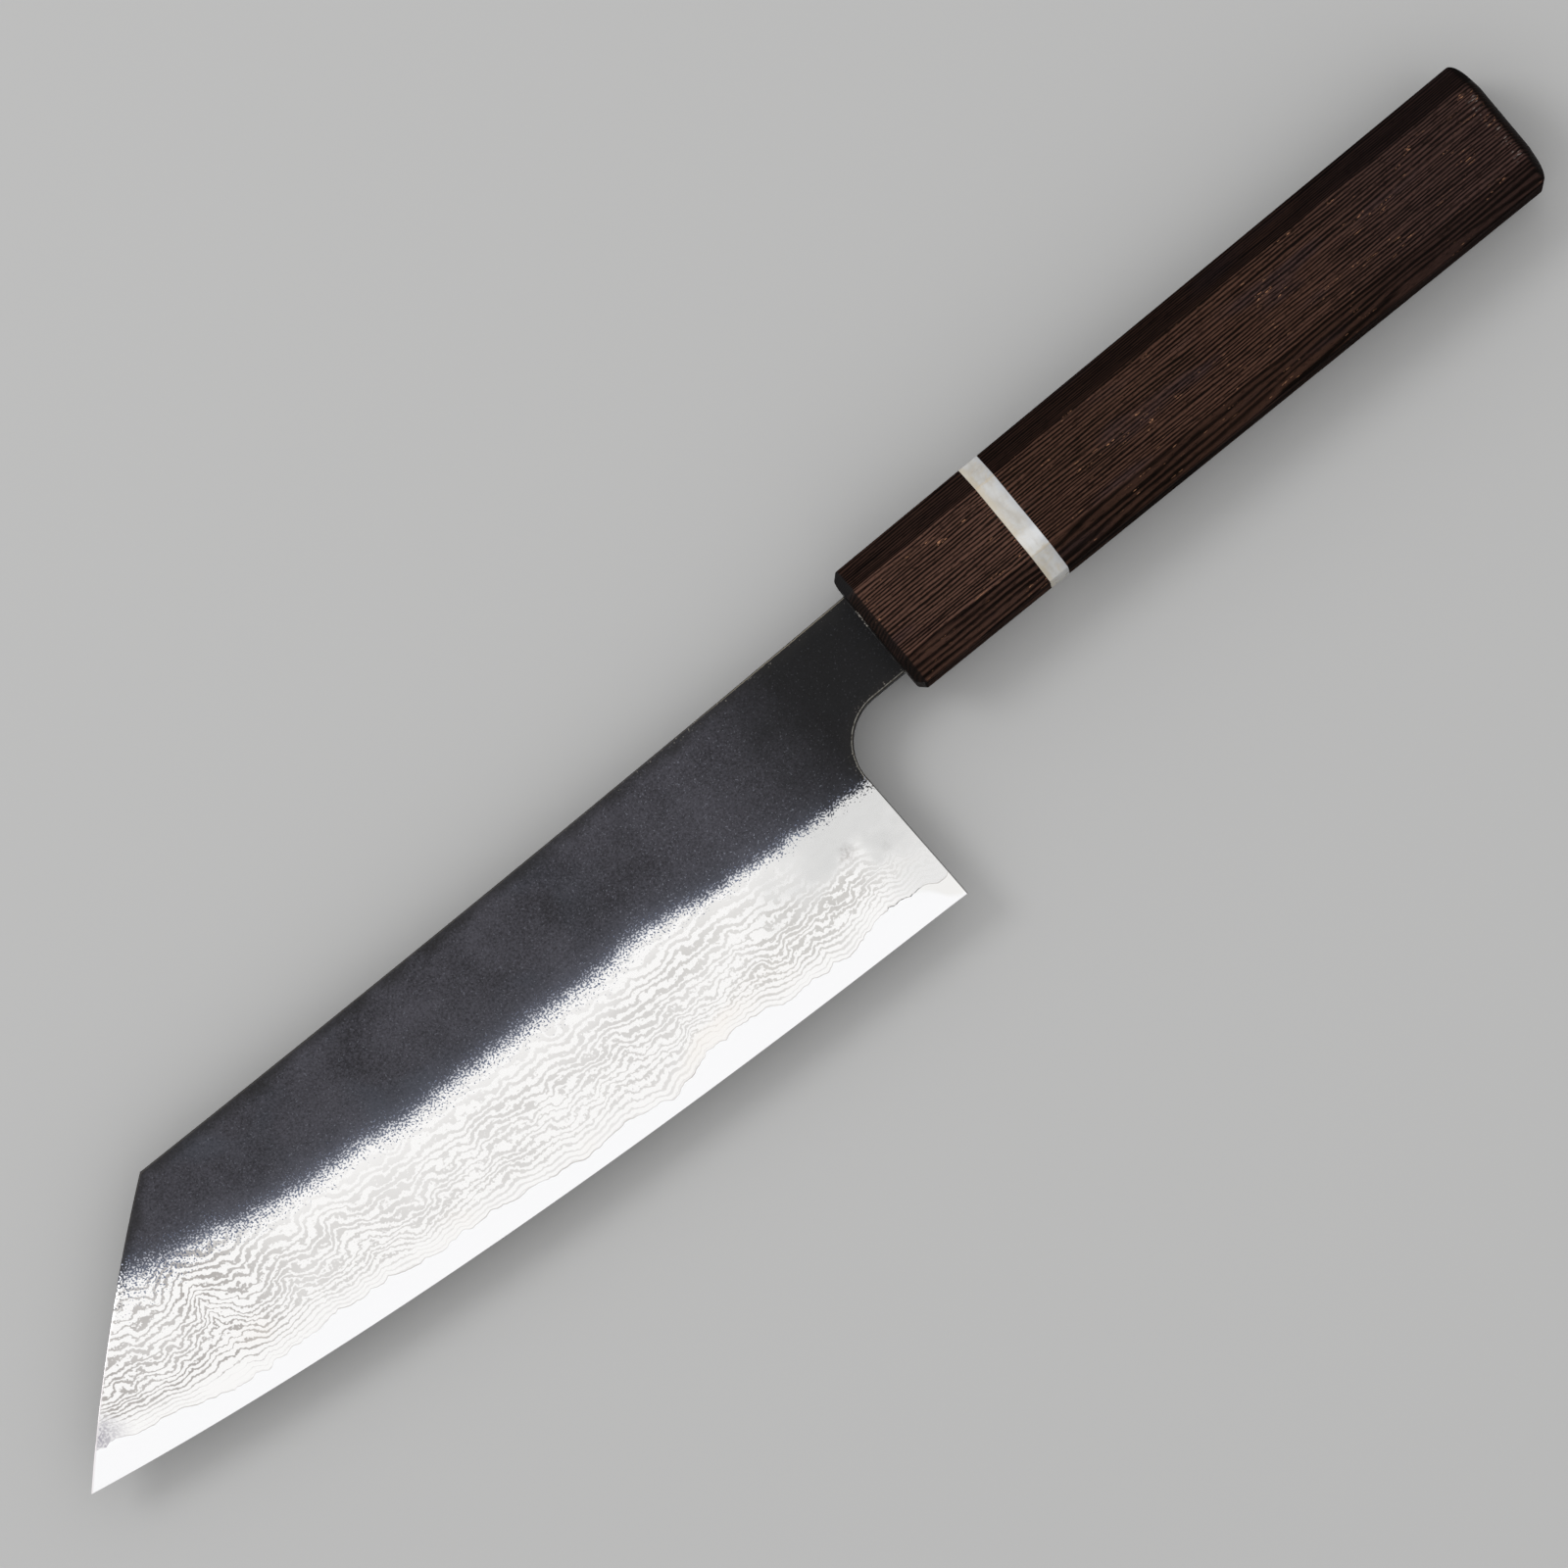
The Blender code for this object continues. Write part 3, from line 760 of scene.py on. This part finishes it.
class Nodes:
    """A node tree. Most calls add a node and give back its output."""

    def __init__(self, tree):
        self.tree = tree

    def join(self, value, socket):
        if isinstance(value, Value):
            self.tree.links.new(value.socket, socket)
        else:
            socket.default_value = value

    def node(self, kind, inputs, **settings):
        node = self.tree.nodes.new("ShaderNode" + kind)
        for name, value in settings.items():
            setattr(node, name, value)
        for socket, value in inputs.items():
            self.join(value, node.inputs[socket])
        return [Value(self, socket) for socket in node.outputs]

    def vector(self, operation, a, b):
        return self.node("VectorMath", {0: a, 1: b}, operation=operation)[0]

    def stretch(self, vector, x, y=1.0, z=1.0):
        return self.vector("MULTIPLY", vector, (x, y, z))

    def split(self, vector):
        return self.node("SeparateXYZ", {0: vector})

    def joined(self, x, y, z):
        return self.node("CombineXYZ", {0: x, 1: y, 2: z})[0]

    def math(self, operation, a, b=0.0):
        return self.node("Math", {0: a, 1: b}, operation=operation)[0]

    def larger(self, a, b):
        return self.math("MAXIMUM", a, b)

    def swing(self, vector, size, detail=2.0, roughness=0.5):
        """Noise about zero, with features of the given size in millimetres."""
        inputs = {"Vector": vector, "Scale": 1 / size, "Detail": detail, "Roughness": roughness}
        return self.node("TexNoise", inputs)[0] - 0.5

    def step(self, value, low, high, start=0.0, end=1.0):
        """Goes smoothly from start to end as a value goes from low to high."""
        inputs = {0: value, 1: low, 2: high, 3: start, 4: end}
        return self.node("MapRange", inputs, interpolation_type="SMOOTHSTEP")[0]

    def beside(self, value, centre, far, near):
        """Rises smoothly from 0 to 1 as a value comes from far to near of a centre, on either side."""
        return self.step(abs(value - centre), far, near)

    def number(self, share, a, b):
        return self.node("Mix", {0: share, 2: a, 3: b})[0]

    def colour(self, share, a, b):
        a, b = [tint(c) if isinstance(c, tuple) else c for c in (a, b)]
        return self.node("Mix", {0: share, 6: a, 7: b}, data_type="RGBA")[2]


class Look(Nodes):
    """A material's nodes, which end in its surface shader."""

    def __init__(self, name, reflection):
        self.material = bpy.data.materials.new(name)
        self.material.use_nodes = True
        super().__init__(self.material.node_tree)
        self.shader = self.tree.nodes["Principled BSDF"]
        self.shader.inputs["Specular IOR Level"].default_value = reflection

    def drive(self, socket, value):
        self.join(value, self.shader.inputs[socket])

    def bump(self, strength, depth, height):
        """Small relief, as deep as the given part of a millimetre."""
        inputs = {"Strength": strength, "Distance": depth * MM, "Height": height}
        self.drive("Normal", self.node("Bump", inputs)[0])

    def mark(self, name):
        """What the mesh carries at each of its points."""
        _, vector, *_ = self.node("Attribute", {}, attribute_name=name)
        return self.split(vector)

    def position(self):
        """The place on the piece in millimetres, in the knife's own frame."""
        place = self.node("TexCoord", {})[OBJECT_PLACE]
        return self.stretch(self.vector("SUBTRACT", place, tuple(KNIFE)), 1 / MM, 1 / MM, 1 / MM)


def tint(colour):
    """A colour that is written as it looks, 0 to 255, as the shader's linear numbers."""
    shares = [c / 255 for c in colour]
    return (*[s / 12.92 if s <= 0.04045 else ((s + 0.055) / 1.055) ** 2.4 for s in shares], 1.0)


# Patterned steel: height and width of the bends in its layers, in millimetres, and layers per millimetre
FOLD_HEIGHT, FOLD_SIZE = 6.4, 5.4
WAVE_HEIGHT, WAVE_SIZE = 4.0, 2.6
PEBBLE_HEIGHT, PEBBLE_SIZE = 1.7, 0.52
LAYERS_PER_MM = 1.26
LAYERS_PER_MM_TIP = 1.38
LAYER_SPREAD = 0.028

# Places where the layers are pushed up or down: middle, half width and height, in millimetres
PEAKS = [
    (-149.3, 2.6, 2.3), (-155.0, 2.4, -1.3), (-143.5, 2.6, -1.2), (-126.0, 3.0, 1.3), (-119.0, 3.2, -1.0),
]

# Small stains: place along the blade, height above the core steel's line, size, strength and colour
SMUDGES = [
    (-25.4, 12.3, 2.1, 0.40, (120, 112, 106)),
    (-32.4, 7.0, 1.6, 0.12, (120, 112, 106)),
    (-20.0, 9.5, 1.4, 0.10, (120, 112, 106)),
    (-175.6, 1.9, 6.6, 0.74, (138, 133, 148)),
]

# Breadth of the scale's speckled border, size of its specks and depth of its haze, in millimetres
BORDER_HEEL = 0.85
BORDER_MIDDLE = 1.35
BORDER_TIP = 2.5
BORDER_TIP_LINE = 3.7
GRIT_SIZE = 0.33
HAZE_DEPTH = 2.0


class BladeLook(Look):
    """The blade's finish, with what its meshes carry. All lengths are in millimetres."""

    def __init__(self, name, seed):
        super().__init__(name, 0.12)
        self.along, self.rise, self.above_line = self.mark("steel")
        self.rim, self.below_face, _ = self.mark("wear")
        self.seed = seed
        self.flat = self.joined(self.along, self.rise, seed)
        self.drawn_out = self.stretch(self.flat, 0.55)
        self.at_tip = self.from_to(-128.0, -146.0)

    def grit(self, size, detail=2.0, roughness=0.5):
        """Noise about zero over the side of the blade."""
        return self.swing(self.flat, size, detail, roughness)

    def from_to(self, here, there, start=0.0, end=1.0):
        """Goes from start to end between two places along the blade. The tip is at about -182."""
        return self.step(self.along, here, there, start, end)

    def up_from(self, low, high, start=0.0, end=1.0):
        """Goes from start to end between two heights above the core steel's line."""
        return self.step(self.rise, low, high, start, end)


def steel_layers(look):
    """The surface cuts through many thin layers: 1 on the bright ones and 0 on the grey ones."""
    folds = look.swing(look.stretch(look.flat, 0.80, 0.32), FOLD_SIZE, 2.0, 0.45) * FOLD_HEIGHT
    waves = look.swing(look.stretch(look.flat, 0.7), WAVE_SIZE) * WAVE_HEIGHT
    shift = folds + waves * look.up_from(1.0, 7.0, 0.15, 1.0)
    for centre, width, height in PEAKS:
        peak = look.math("EXPONENT", abs(look.along - centre) * (-1 / width)) * height
        shift += peak * look.up_from(3.0, 10.5)

    # Close to the core steel's line the layers run calmly along it
    calm = look.number(look.at_tip, 5.0, 9.5)
    pebbles = look.swing(look.stretch(look.flat, 0.8), PEBBLE_SIZE, 3.0, 0.65) * PEBBLE_HEIGHT
    shift = shift * look.up_from(0.0, calm, 0.25, 1.0) + pebbles * look.up_from(0.5, calm, 0.24, 1.0)
    height = look.rise - shift
    spread = 1 + look.larger(height, 0.0) * LAYER_SPREAD
    layers = height * look.number(look.at_tip, LAYERS_PER_MM, LAYERS_PER_MM_TIP) / spread
    saw = look.math("PINGPONG", layers, 0.5)
    open_at = look.up_from(0.5, 7.0, 0.12, 0.25) + look.swing(look.drawn_out, 5.0, 1.0) * 0.45
    return look.step(saw - (open_at - look.at_tip * 0.05), -0.05, 0.05)


def patterned_steel(look, bright):
    """Colours of the ground cladding, whose layers fade beside the core, the scale and the upper heel."""
    strayed = look.grit(5.0) * 14.0
    smooth_heel = look.step(look.rise + strayed, 6.0, 14.0) * look.step(look.along + strayed, -46.0, -27.0)
    under_scale = look.step(look.above_line, -9.0, -0.8)
    strength = look.up_from(-0.2, 4.5, look.number(look.at_tip, 0.50, 0.30), 1.0)
    strength *= 1 - under_scale * (1 - look.at_tip) * 0.70
    strength *= 1 - smooth_heel * 0.92
    strength *= look.from_to(-29.0, -15.5, 1.0, 0.20)
    strength *= look.from_to(-170.5, -175.0, 1.0, 0.25)
    strength *= 0.92 + look.swing(look.drawn_out, 11.0) * 1.5
    grey = look.colour(look.from_to(-132.0, -150.0), (212, 210, 208), (172, 168, 165))
    grey = look.colour(look.from_to(-70.0, -42.0), grey, (207, 205, 202))
    steel = look.colour(strength * (1 - bright), (249, 248, 247), grey)
    steel = look.colour(smooth_heel * 0.85, steel, (211, 211, 210))
    warm = look.step(look.swing(look.drawn_out, 13.0), 0.04, 0.24)
    warm *= look.up_from(9.0, 3.0) * look.from_to(-168.0, -158.0)
    steel = look.colour(warm * 0.45, steel, (247, 240, 232))
    # Painted shade greys the cladding at the heel's end
    painted_heel_shade = look.from_to(-27.0, -18.0) * look.up_from(14.0, 9.0)
    steel = look.colour(painted_heel_shade * 0.42, steel, (206, 206, 205))
    mottle = look.step(look.grit(0.45, 1.0), -0.12, 0.12, 0.45, 1.0)
    ragged = look.grit(1.6) * 2.2
    for x, up, size, share, shade in SMUDGES:
        off = look.vector("SUBTRACT", look.flat, (x, up, look.seed))
        off = look.node("VectorMath", {0: off}, operation="LENGTH")[1] + ragged
        steel = look.colour(look.step(off, size, 0.0) * mottle * share, steel, shade)
    return steel


def ground_steel(look, cladding, patterned):
    """The cladding, the core steel below it, and the thin dark line between the two."""
    # Painted shade: the core steel turns greyer over a triangle at its heel end
    darker = look.step(look.along + look.rise * 1.48, -22.2, -20.0) * look.from_to(-24.0, -18.0)
    core = look.colour(darker, (250, 250, 251), (241, 240, 238))
    steel = look.colour(patterned, core, cladding)
    width = 0.13 + look.grit(2.2) * 0.25
    on_line = (1 - look.step(abs(look.rise), 0.02, width)) * look.from_to(-174.0, -171.0)
    steel = look.colour(on_line * (0.42 + look.grit(9.0) * 1.2), steel, (158, 150, 143))
    crack = look.from_to(-26.5, -25.5) * look.from_to(-19.5, -20.5) * on_line
    crack *= look.step(look.grit(0.5), -0.06, 0.04)
    return look.colour(crack, steel, (52, 48, 50))


def past_border(look):
    """How far a place lies past the border where the scale begins, in breadths of that border."""
    breadth = look.from_to(-40.0, -62.0, BORDER_HEEL, BORDER_MIDDLE)
    breadth = look.from_to(-128.0, -160.0, breadth, BORDER_TIP)
    breadth = look.from_to(-161.0, -169.0, breadth, BORDER_TIP_LINE)
    return (look.above_line + look.grit(3.2, 3.0) * 1.9 + 0.75) / breadth


def forge_scale(look, past, grains):
    """Dark scale with pale specks, hazy beside its border, plainer on the neck and darker at the rim."""
    clouds = look.grit(9.0, 3.0)
    scale = look.colour(0.5 + grains * 2.4 + clouds * 1.3, (40, 39, 43), (73, 72, 79))
    bluish = look.step(look.grit(15.0), 0.0, 0.16) * look.from_to(-50.0, -80.0)
    scale = look.colour(bluish * 0.36, scale, (63, 68, 77))
    haze = look.math("EXPONENT", look.larger(look.above_line, 0.0) * (-1 / HAZE_DEPTH))
    scale = look.colour(haze * look.from_to(-36.0, -60.0, 0.38, 0.60), scale, (108, 112, 125))
    specks = look.step(look.grit(0.31, 1.0), 0.15, 0.24)
    shown = specks * (look.from_to(-75.0, -35.0, 0.38, 0.60) + haze * 0.20)
    scale = look.colour(shown, scale, look.colour(haze, (118, 120, 130), (192, 200, 216)))
    scale = look.colour(look.step(past, 1.0, -0.6) * 0.55, scale, (124, 135, 160))
    neck = look.step(look.along + clouds * 26.0, -36.0, -13.0)
    scale = look.colour(neck * 0.9, scale, look.colour(specks * 0.4, (15, 15, 15), (58, 58, 60)))
    inner = look.step(look.rim + look.grit(5.0, 3.0) * 4.0, 0.3, 2.6)
    return look.colour((1 - inner) * 0.66, scale, (32, 31, 31))


def worn_scale(look, scale, face):
    """The scale with its corner rubbed bright along the spine, and with chips beside it."""
    worn = look.beside(look.rim + look.grit(0.6) * 0.22, 0.20, 0.11, 0.03) * face
    worn *= look.from_to(-36.0, -16.0, 0.10, 0.62) * look.up_from(31.0, 36.0, 0.45, 1.0)
    scale = look.colour(worn, scale, (158, 150, 134))
    chips = look.step(look.grit(0.34, 1.0), 0.17, 0.24) * look.step(look.rim, 1.4, 0.5)
    chips *= look.from_to(-70.0, -30.0) * face
    return look.colour(chips * 0.5, scale, (166, 160, 150))


def blade_look(name, seed):
    """Forge scale above, patterned steel below it, and plain core steel along the edge."""
    look = BladeLook(name, seed)
    bright = steel_layers(look)
    patterned = look.up_from(-0.05, 0.05)
    steel = ground_steel(look, patterned_steel(look, bright), patterned)
    past = past_border(look)
    scaled = look.step(past * 0.31 + look.grit(GRIT_SIZE, 1.0) * 3.0, -0.17, 0.17)

    # Ground steel: its walls greyed by painted shade, a painted highlight along the tip line's rim, and
    # duller towards the scale
    wall = look.step(look.below_face, 0.15, 0.35)
    # Painted shade greys the ground steel's walls
    painted_wall_shade = wall * look.up_from(-0.2, 0.3) * (1 - scaled)
    steel = look.colour(painted_wall_shade * 0.8, steel, (150, 147, 143))
    painted_tip_highlight = look.step(look.rim, 0.40, 0.15) * look.from_to(-160.0, -164.0)
    steel = look.colour(painted_tip_highlight * 0.75, steel, (236, 231, 233))
    dulled = look.step(past, -0.6, 1.8)
    steel = look.colour(dulled * 0.88, steel, (86, 99, 130))

    face = 1 - wall
    grains = look.grit(0.36, 2.0, 0.7)
    scale = worn_scale(look, forge_scale(look, past, grains), face)
    colour = look.colour(scaled, steel, scale)

    # Round the choil the corner shows bright dots, and a dark line of painted shade outside them
    at_choil = look.from_to(-19.0, -17.0) * look.step(look.above_line, 14.0, 9.0) * face
    dots = look.step(look.grit(0.5), -0.16, 0.10) * look.beside(look.rim, 0.27, 0.11, 0.03)
    colour = look.colour(at_choil * dots * scaled * 0.62, colour, (158, 156, 150))
    # Painted shade: a dark line along the choil's rounded corner
    painted_choil_shade = at_choil * look.step(look.rim, 0.22, 0.10)
    look.drive("Base Color", look.colour(painted_choil_shade * 0.85, colour, (40, 38, 37)))
    look.drive("Metallic", (1 - scaled) * (1 - dulled * 0.7))
    polish = look.number(patterned * (1 - bright), 0.19, 0.30)
    look.drive("Roughness", look.number(scaled, polish, 0.46 + grains * 0.5))
    pits = grains + look.grit(1.1) * 0.9
    look.bump(0.6, 0.03, look.number(scaled, bright * patterned * 0.10, pits))
    return look.material


# Wenge: seed, bow and pitch of the growth layers, and the colours of the dark and the light ones
GRIP_WOOD = {"seed": 5.0, "bow": 0.027, "pitch": 0.570, "dark": (15, 9, 6), "light": (80, 56, 46)}
FERRULE_WOOD = {"seed": 23.0, "bow": 0.022, "pitch": 0.580, "dark": (19, 12, 9), "light": (92, 66, 56)}
FACET_Y = 6.75  # where the upper and lower facets begin at the ferrule's front, and how they draw apart
FACET_SPREAD = 0.007
HEIGHT_SPREAD = (HANDLE_HEIGHT_BUTT - HANDLE_HEIGHT_FRONT) / 2 / BUTT_X


def wenge_look(name, wood):
    """Dark wood whose fine light and dark growth layers run along the handle."""
    look = Look(name, 0.02)
    x, y, z = look.split(look.position())

    def along_grain(share, offset=0):
        """A place of which only a share of the length counts, so that what is drawn there gets long."""
        return look.joined(x * share, y, z + (wood["seed"] + offset))

    sway = look.swing(along_grain(0.045), 6.0) * 2.4 + look.swing(along_grain(0.11), 2.0, 1.0) * 0.75
    across = y + z * z * -wood["bow"] + sway
    regular = look.math("SINE", across * (2 * math.pi / wood["pitch"]))
    uneven = look.swing(look.joined(x * 0.05, across, wood["seed"]), 0.42, 2.0, 0.6)
    layer = look.step(regular * 0.75 + uneven * 2.3, -0.62, 0.72)

    # Fine streaks and open pores along the grain
    streaks = look.swing(along_grain(0.10), 0.20, 2.0, 0.6)
    pores = look.step(look.swing(along_grain(0.16, 3), 0.17, 1.0), 0.10, 0.18)
    patches = look.swing(along_grain(0.22), 5.0)
    broad = look.swing(along_grain(0.03), 1.1, 1.0)
    tone = layer * 0.92 + streaks * 0.9 + patches * 0.5 + broad * 0.8
    base = look.colour(tone, wood["dark"], wood["light"])
    mauve = look.colour(tone, (20, 14, 13), (66, 49, 46))
    rear = look.step(x, 78.0, 112.0) * 0.75
    base = look.colour(look.larger(look.step(patches, 0.02, 0.20), rear), base, mauve)

    # The side facets cut the layers another way; they and the narrow outer sides are darkened by painted
    # shade
    drawn = x * FACET_SPREAD
    upper = look.step(y - drawn, FACET_Y - 0.10, FACET_Y + 0.12)
    lower = look.step(y * -1.0 - drawn, FACET_Y - 0.10, FACET_Y + 0.12)
    # Painted shade: the upper facet nearly black, the lower one dark brown
    base = look.colour(upper * 0.69, base, (1, 2, 3))
    base = look.colour(lower * 0.40, base, (12, 7, 5))
    # Painted shade darkens the narrow outer sides of the handle
    side = HANDLE_HEIGHT_FRONT / 2
    outer = look.step(abs(y) - x * HEIGHT_SPREAD, side - 0.15, side - 0.05)
    base = look.colour(outer * 0.45, base, (7, 4, 4))

    # Strings of tan beads where soft tissue comes to the surface
    string = look.swing(along_grain(0.11, 7), 0.34, 1.0)
    group = look.swing(along_grain(0.40, 11), 3.2, 1.0)
    beads = look.swing(along_grain(0.5), 0.32, 1.0)
    flecks = look.step(string, 0.12, 0.20) * look.step(group, 0.01, 0.11) * look.step(beads, -0.06, 0.10)
    tan = look.colour(look.step(beads, -0.1, 0.2), (98, 68, 51), (162, 118, 90))
    plain = look.larger(look.larger(upper, lower * look.step(string, 0.24, 0.17)), outer * 0.75)
    base = look.colour(flecks * (1 - plain), base, tan)
    base = look.colour(pores * 0.55, base, (16, 10, 8))

    # End grain: the chamfer at the front has taken up resin, and the one at the butt is rubbed
    resin = look.colour(look.step(y, FACET_Y - 1.5, FACET_Y + 0.5), (21, 18, 17), (33, 33, 34))
    resin_end = look.step(x + patches * 0.5 - FRONT_CHAMFER_DEPTH, 0.42, 0.12)
    base = look.colour(resin_end * 0.86, base, resin)
    from_butt = BUTT_X - x
    base = look.colour(look.step(from_butt, 2.3, 1.5) * 0.86, base, (10, 7, 6))
    scuffs = look.swing(look.joined(x * 0.25, y, z), 0.35, 2.0, 0.65)
    scuffs = look.step(scuffs + look.swing(look.joined(0.0, y, z), 3.0, 1.0), 0.13, 0.22)
    scuffs *= look.beside(from_butt, 2.9, 1.1, 0.3) * (1 - upper) * (1 - lower)
    base = look.colour(scuffs * 0.5, base, (150, 138, 132))

    look.drive("Base Color", base)
    rough = 0.48 + layer * 0.12 + pores * 0.15
    look.drive("Roughness", look.number(look.larger(outer, upper * 0.7), rough, 1.0))
    look.bump(0.7, 0.06, layer * 0.55 + streaks * 0.4 - pores)
    return look.material


def ring_look():
    """Ivory resin with clouded veins, warmer at the front and cooler at the back."""
    look = Look("marbled_ivory", 0.4)
    place = look.position()
    x, y, _ = look.split(place)
    bent = look.node("TexNoise", {"Vector": place, "Scale": 0.16, "Detail": 2.0})[1]
    bent = look.vector("ADD", place, look.stretch(bent, 3.0, 3.0, 3.0))
    clouds = look.swing(look.stretch(bent, 1.3, 0.6, 0.6), 2.2, 3.0)
    fine = look.swing(look.stretch(bent, 0.6, 1.6), 0.7, 3.0, 0.6)
    base = look.colour(look.step(clouds + fine * 0.2, -0.20, 0.20), (183, 179, 172), (203, 203, 201))
    veins = look.step(abs(look.swing(look.stretch(bent, 0.5, 1.0, 0.8), 3.4)), 0.030, 0.0)
    base = look.colour(veins * 0.22, base, (196, 180, 150))
    from_front = x - FERRULE_END + clouds * 2.5
    base = look.colour(look.step(from_front, 1.5, 0.0) * 0.50, base, (204, 191, 164))
    base = look.colour(look.step(from_front, 2.5, 3.7) * 0.50, base, (176, 181, 190))
    base = look.colour(look.beside(y + clouds * 3.0, -4.2, 1.8, 0.3) * 0.6, base, (226, 227, 228))
    for streak_y in (-FACET_Y - 0.25, FACET_Y + 0.1):
        streak = look.beside(y + fine * 0.7, streak_y, 0.30, 0.0)
        base = look.colour(streak * 0.45, base, (184, 166, 134))
    look.drive("Base Color", base)
    look.drive("Roughness", 0.30 + clouds * 0.2)
    look.bump(0.25, 0.03, look.swing(place, 0.5) + fine)
    return look.material


def seal_look():
    """Dark resin with pearly flecks."""
    look = Look("sealing_resin", 0.5)
    place = look.position()
    flecks = look.swing(place, 0.30, 2.0, 0.7) + look.swing(place, 2.6, 1.0) * 0.8
    flecks = look.step(flecks, 0.15, 0.26)
    look.drive("Base Color", look.colour(flecks, (24, 22, 22), (158, 152, 144)))
    look.drive("Roughness", look.number(flecks, 0.22, 0.4))
    look.bump(0.5, 0.05, look.swing(place, 0.4))
    return look.material


def dowel_look():
    """Pale straight-grained wood."""
    look = Look("dowel_wood", 0.2)
    x, y, z = look.split(look.position())
    grain = look.swing(look.joined(x * 0.05, y, z), 0.5, 3.0, 0.6)
    look.drive("Base Color", look.colour(0.5 + grain * 2.0, (188, 160, 118), (214, 192, 152)))
    look.drive("Roughness", 0.6 + grain * 0.2)
    look.bump(0.4, 0.05, grain)
    return look.material


def dress_dowel():
    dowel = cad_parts["joining_dowel"]
    dowel.data.materials.clear()
    dowel.data.materials.append(dowel_look())


# Studio

FLOOR_COLOUR = (0.50, 0.50, 0.4975, 1)
FLOOR_SIZE = 6.0
HORIZON_LIGHT = 0.42  # strength of the dome up to its first height, and above its second one
ZENITH_LIGHT = 0.99
DOME_HEIGHTS = (0.15, 0.80)
KEY_SIZE = 0.55
KEY_POWER = 3.6
KEY_PLACE = Vector((-0.50, 0.72, 1.05))

VIEW_CENTRE = (-26.2, -9.1, 0.0)  # the point of the knife's own frame in the middle of the picture
VIEW_WIDTH = 248.0  # what the picture takes in across that point
VIEW_DISTANCE = 1300.0
VIEW_TILT = math.radians(5.5)  # how far the camera leans towards the cutting edge
VIEW_TURN = math.atan2(0.632665, 0.774426)  # the handle's slope in the picture
SENSOR = 36.0


def make_floor():
    shape = bmesh.new()
    bmesh.ops.create_grid(shape, x_segments=1, y_segments=1, size=FLOOR_SIZE / 2)
    floor = loose_shape("floor", shape)
    look = Look("floor", 0.1)
    look.drive("Base Color", FLOOR_COLOUR)
    look.drive("Roughness", 0.9)
    floor.data.materials.append(look.material)


def make_lights():
    """A pale dome, brightest overhead, and one soft lamp from the spine's side."""
    world = bpy.data.worlds.new("studio")
    bpy.context.scene.world = world
    world.use_nodes = True
    nodes = Nodes(world.node_tree)
    _, _, rise = nodes.split(nodes.node("TexCoord", {})[DOME_PLACE])
    strength = nodes.step(rise, *DOME_HEIGHTS, HORIZON_LIGHT, ZENITH_LIGHT)
    background = nodes.tree.nodes["Background"].inputs
    nodes.join(strength, background["Strength"])
    nodes.join((1, 1, 1, 1), background["Color"])
    data = bpy.data.lights.new("key", "AREA")
    data.shape = "DISK"
    data.size = KEY_SIZE
    data.energy = KEY_POWER
    lamp = bpy.data.objects.new("key", data)
    lamp.location = KEY_PLACE
    lamp.rotation_euler = (-KEY_PLACE).to_track_quat("-Z", "Y").to_euler()
    bpy.context.scene.collection.objects.link(lamp)


def make_camera():
    right, up = Vector((1, 0, 0)), Vector((0, math.cos(VIEW_TILT), math.sin(VIEW_TILT)))
    back = right.cross(up)
    turned = Matrix((right, up, back)).transposed() @ Matrix.Rotation(-VIEW_TURN, 3, "Z")
    data = bpy.data.cameras.new("camera")
    data.sensor_width = SENSOR
    data.lens = SENSOR * VIEW_DISTANCE / VIEW_WIDTH
    camera = bpy.data.objects.new("camera", data)
    place = placed(*VIEW_CENTRE) + back * VIEW_DISTANCE * MM
    camera.matrix_world = Matrix.Translation(place) @ turned.to_4x4()
    bpy.context.scene.collection.objects.link(camera)
    bpy.context.scene.camera = camera


make_camera()
make_blade()
make_ferrule()
make_seal()
make_ring()
make_grip()
dress_dowel()
make_floor()
make_lights()
bpy.context.scene.view_settings.view_transform = "Standard"
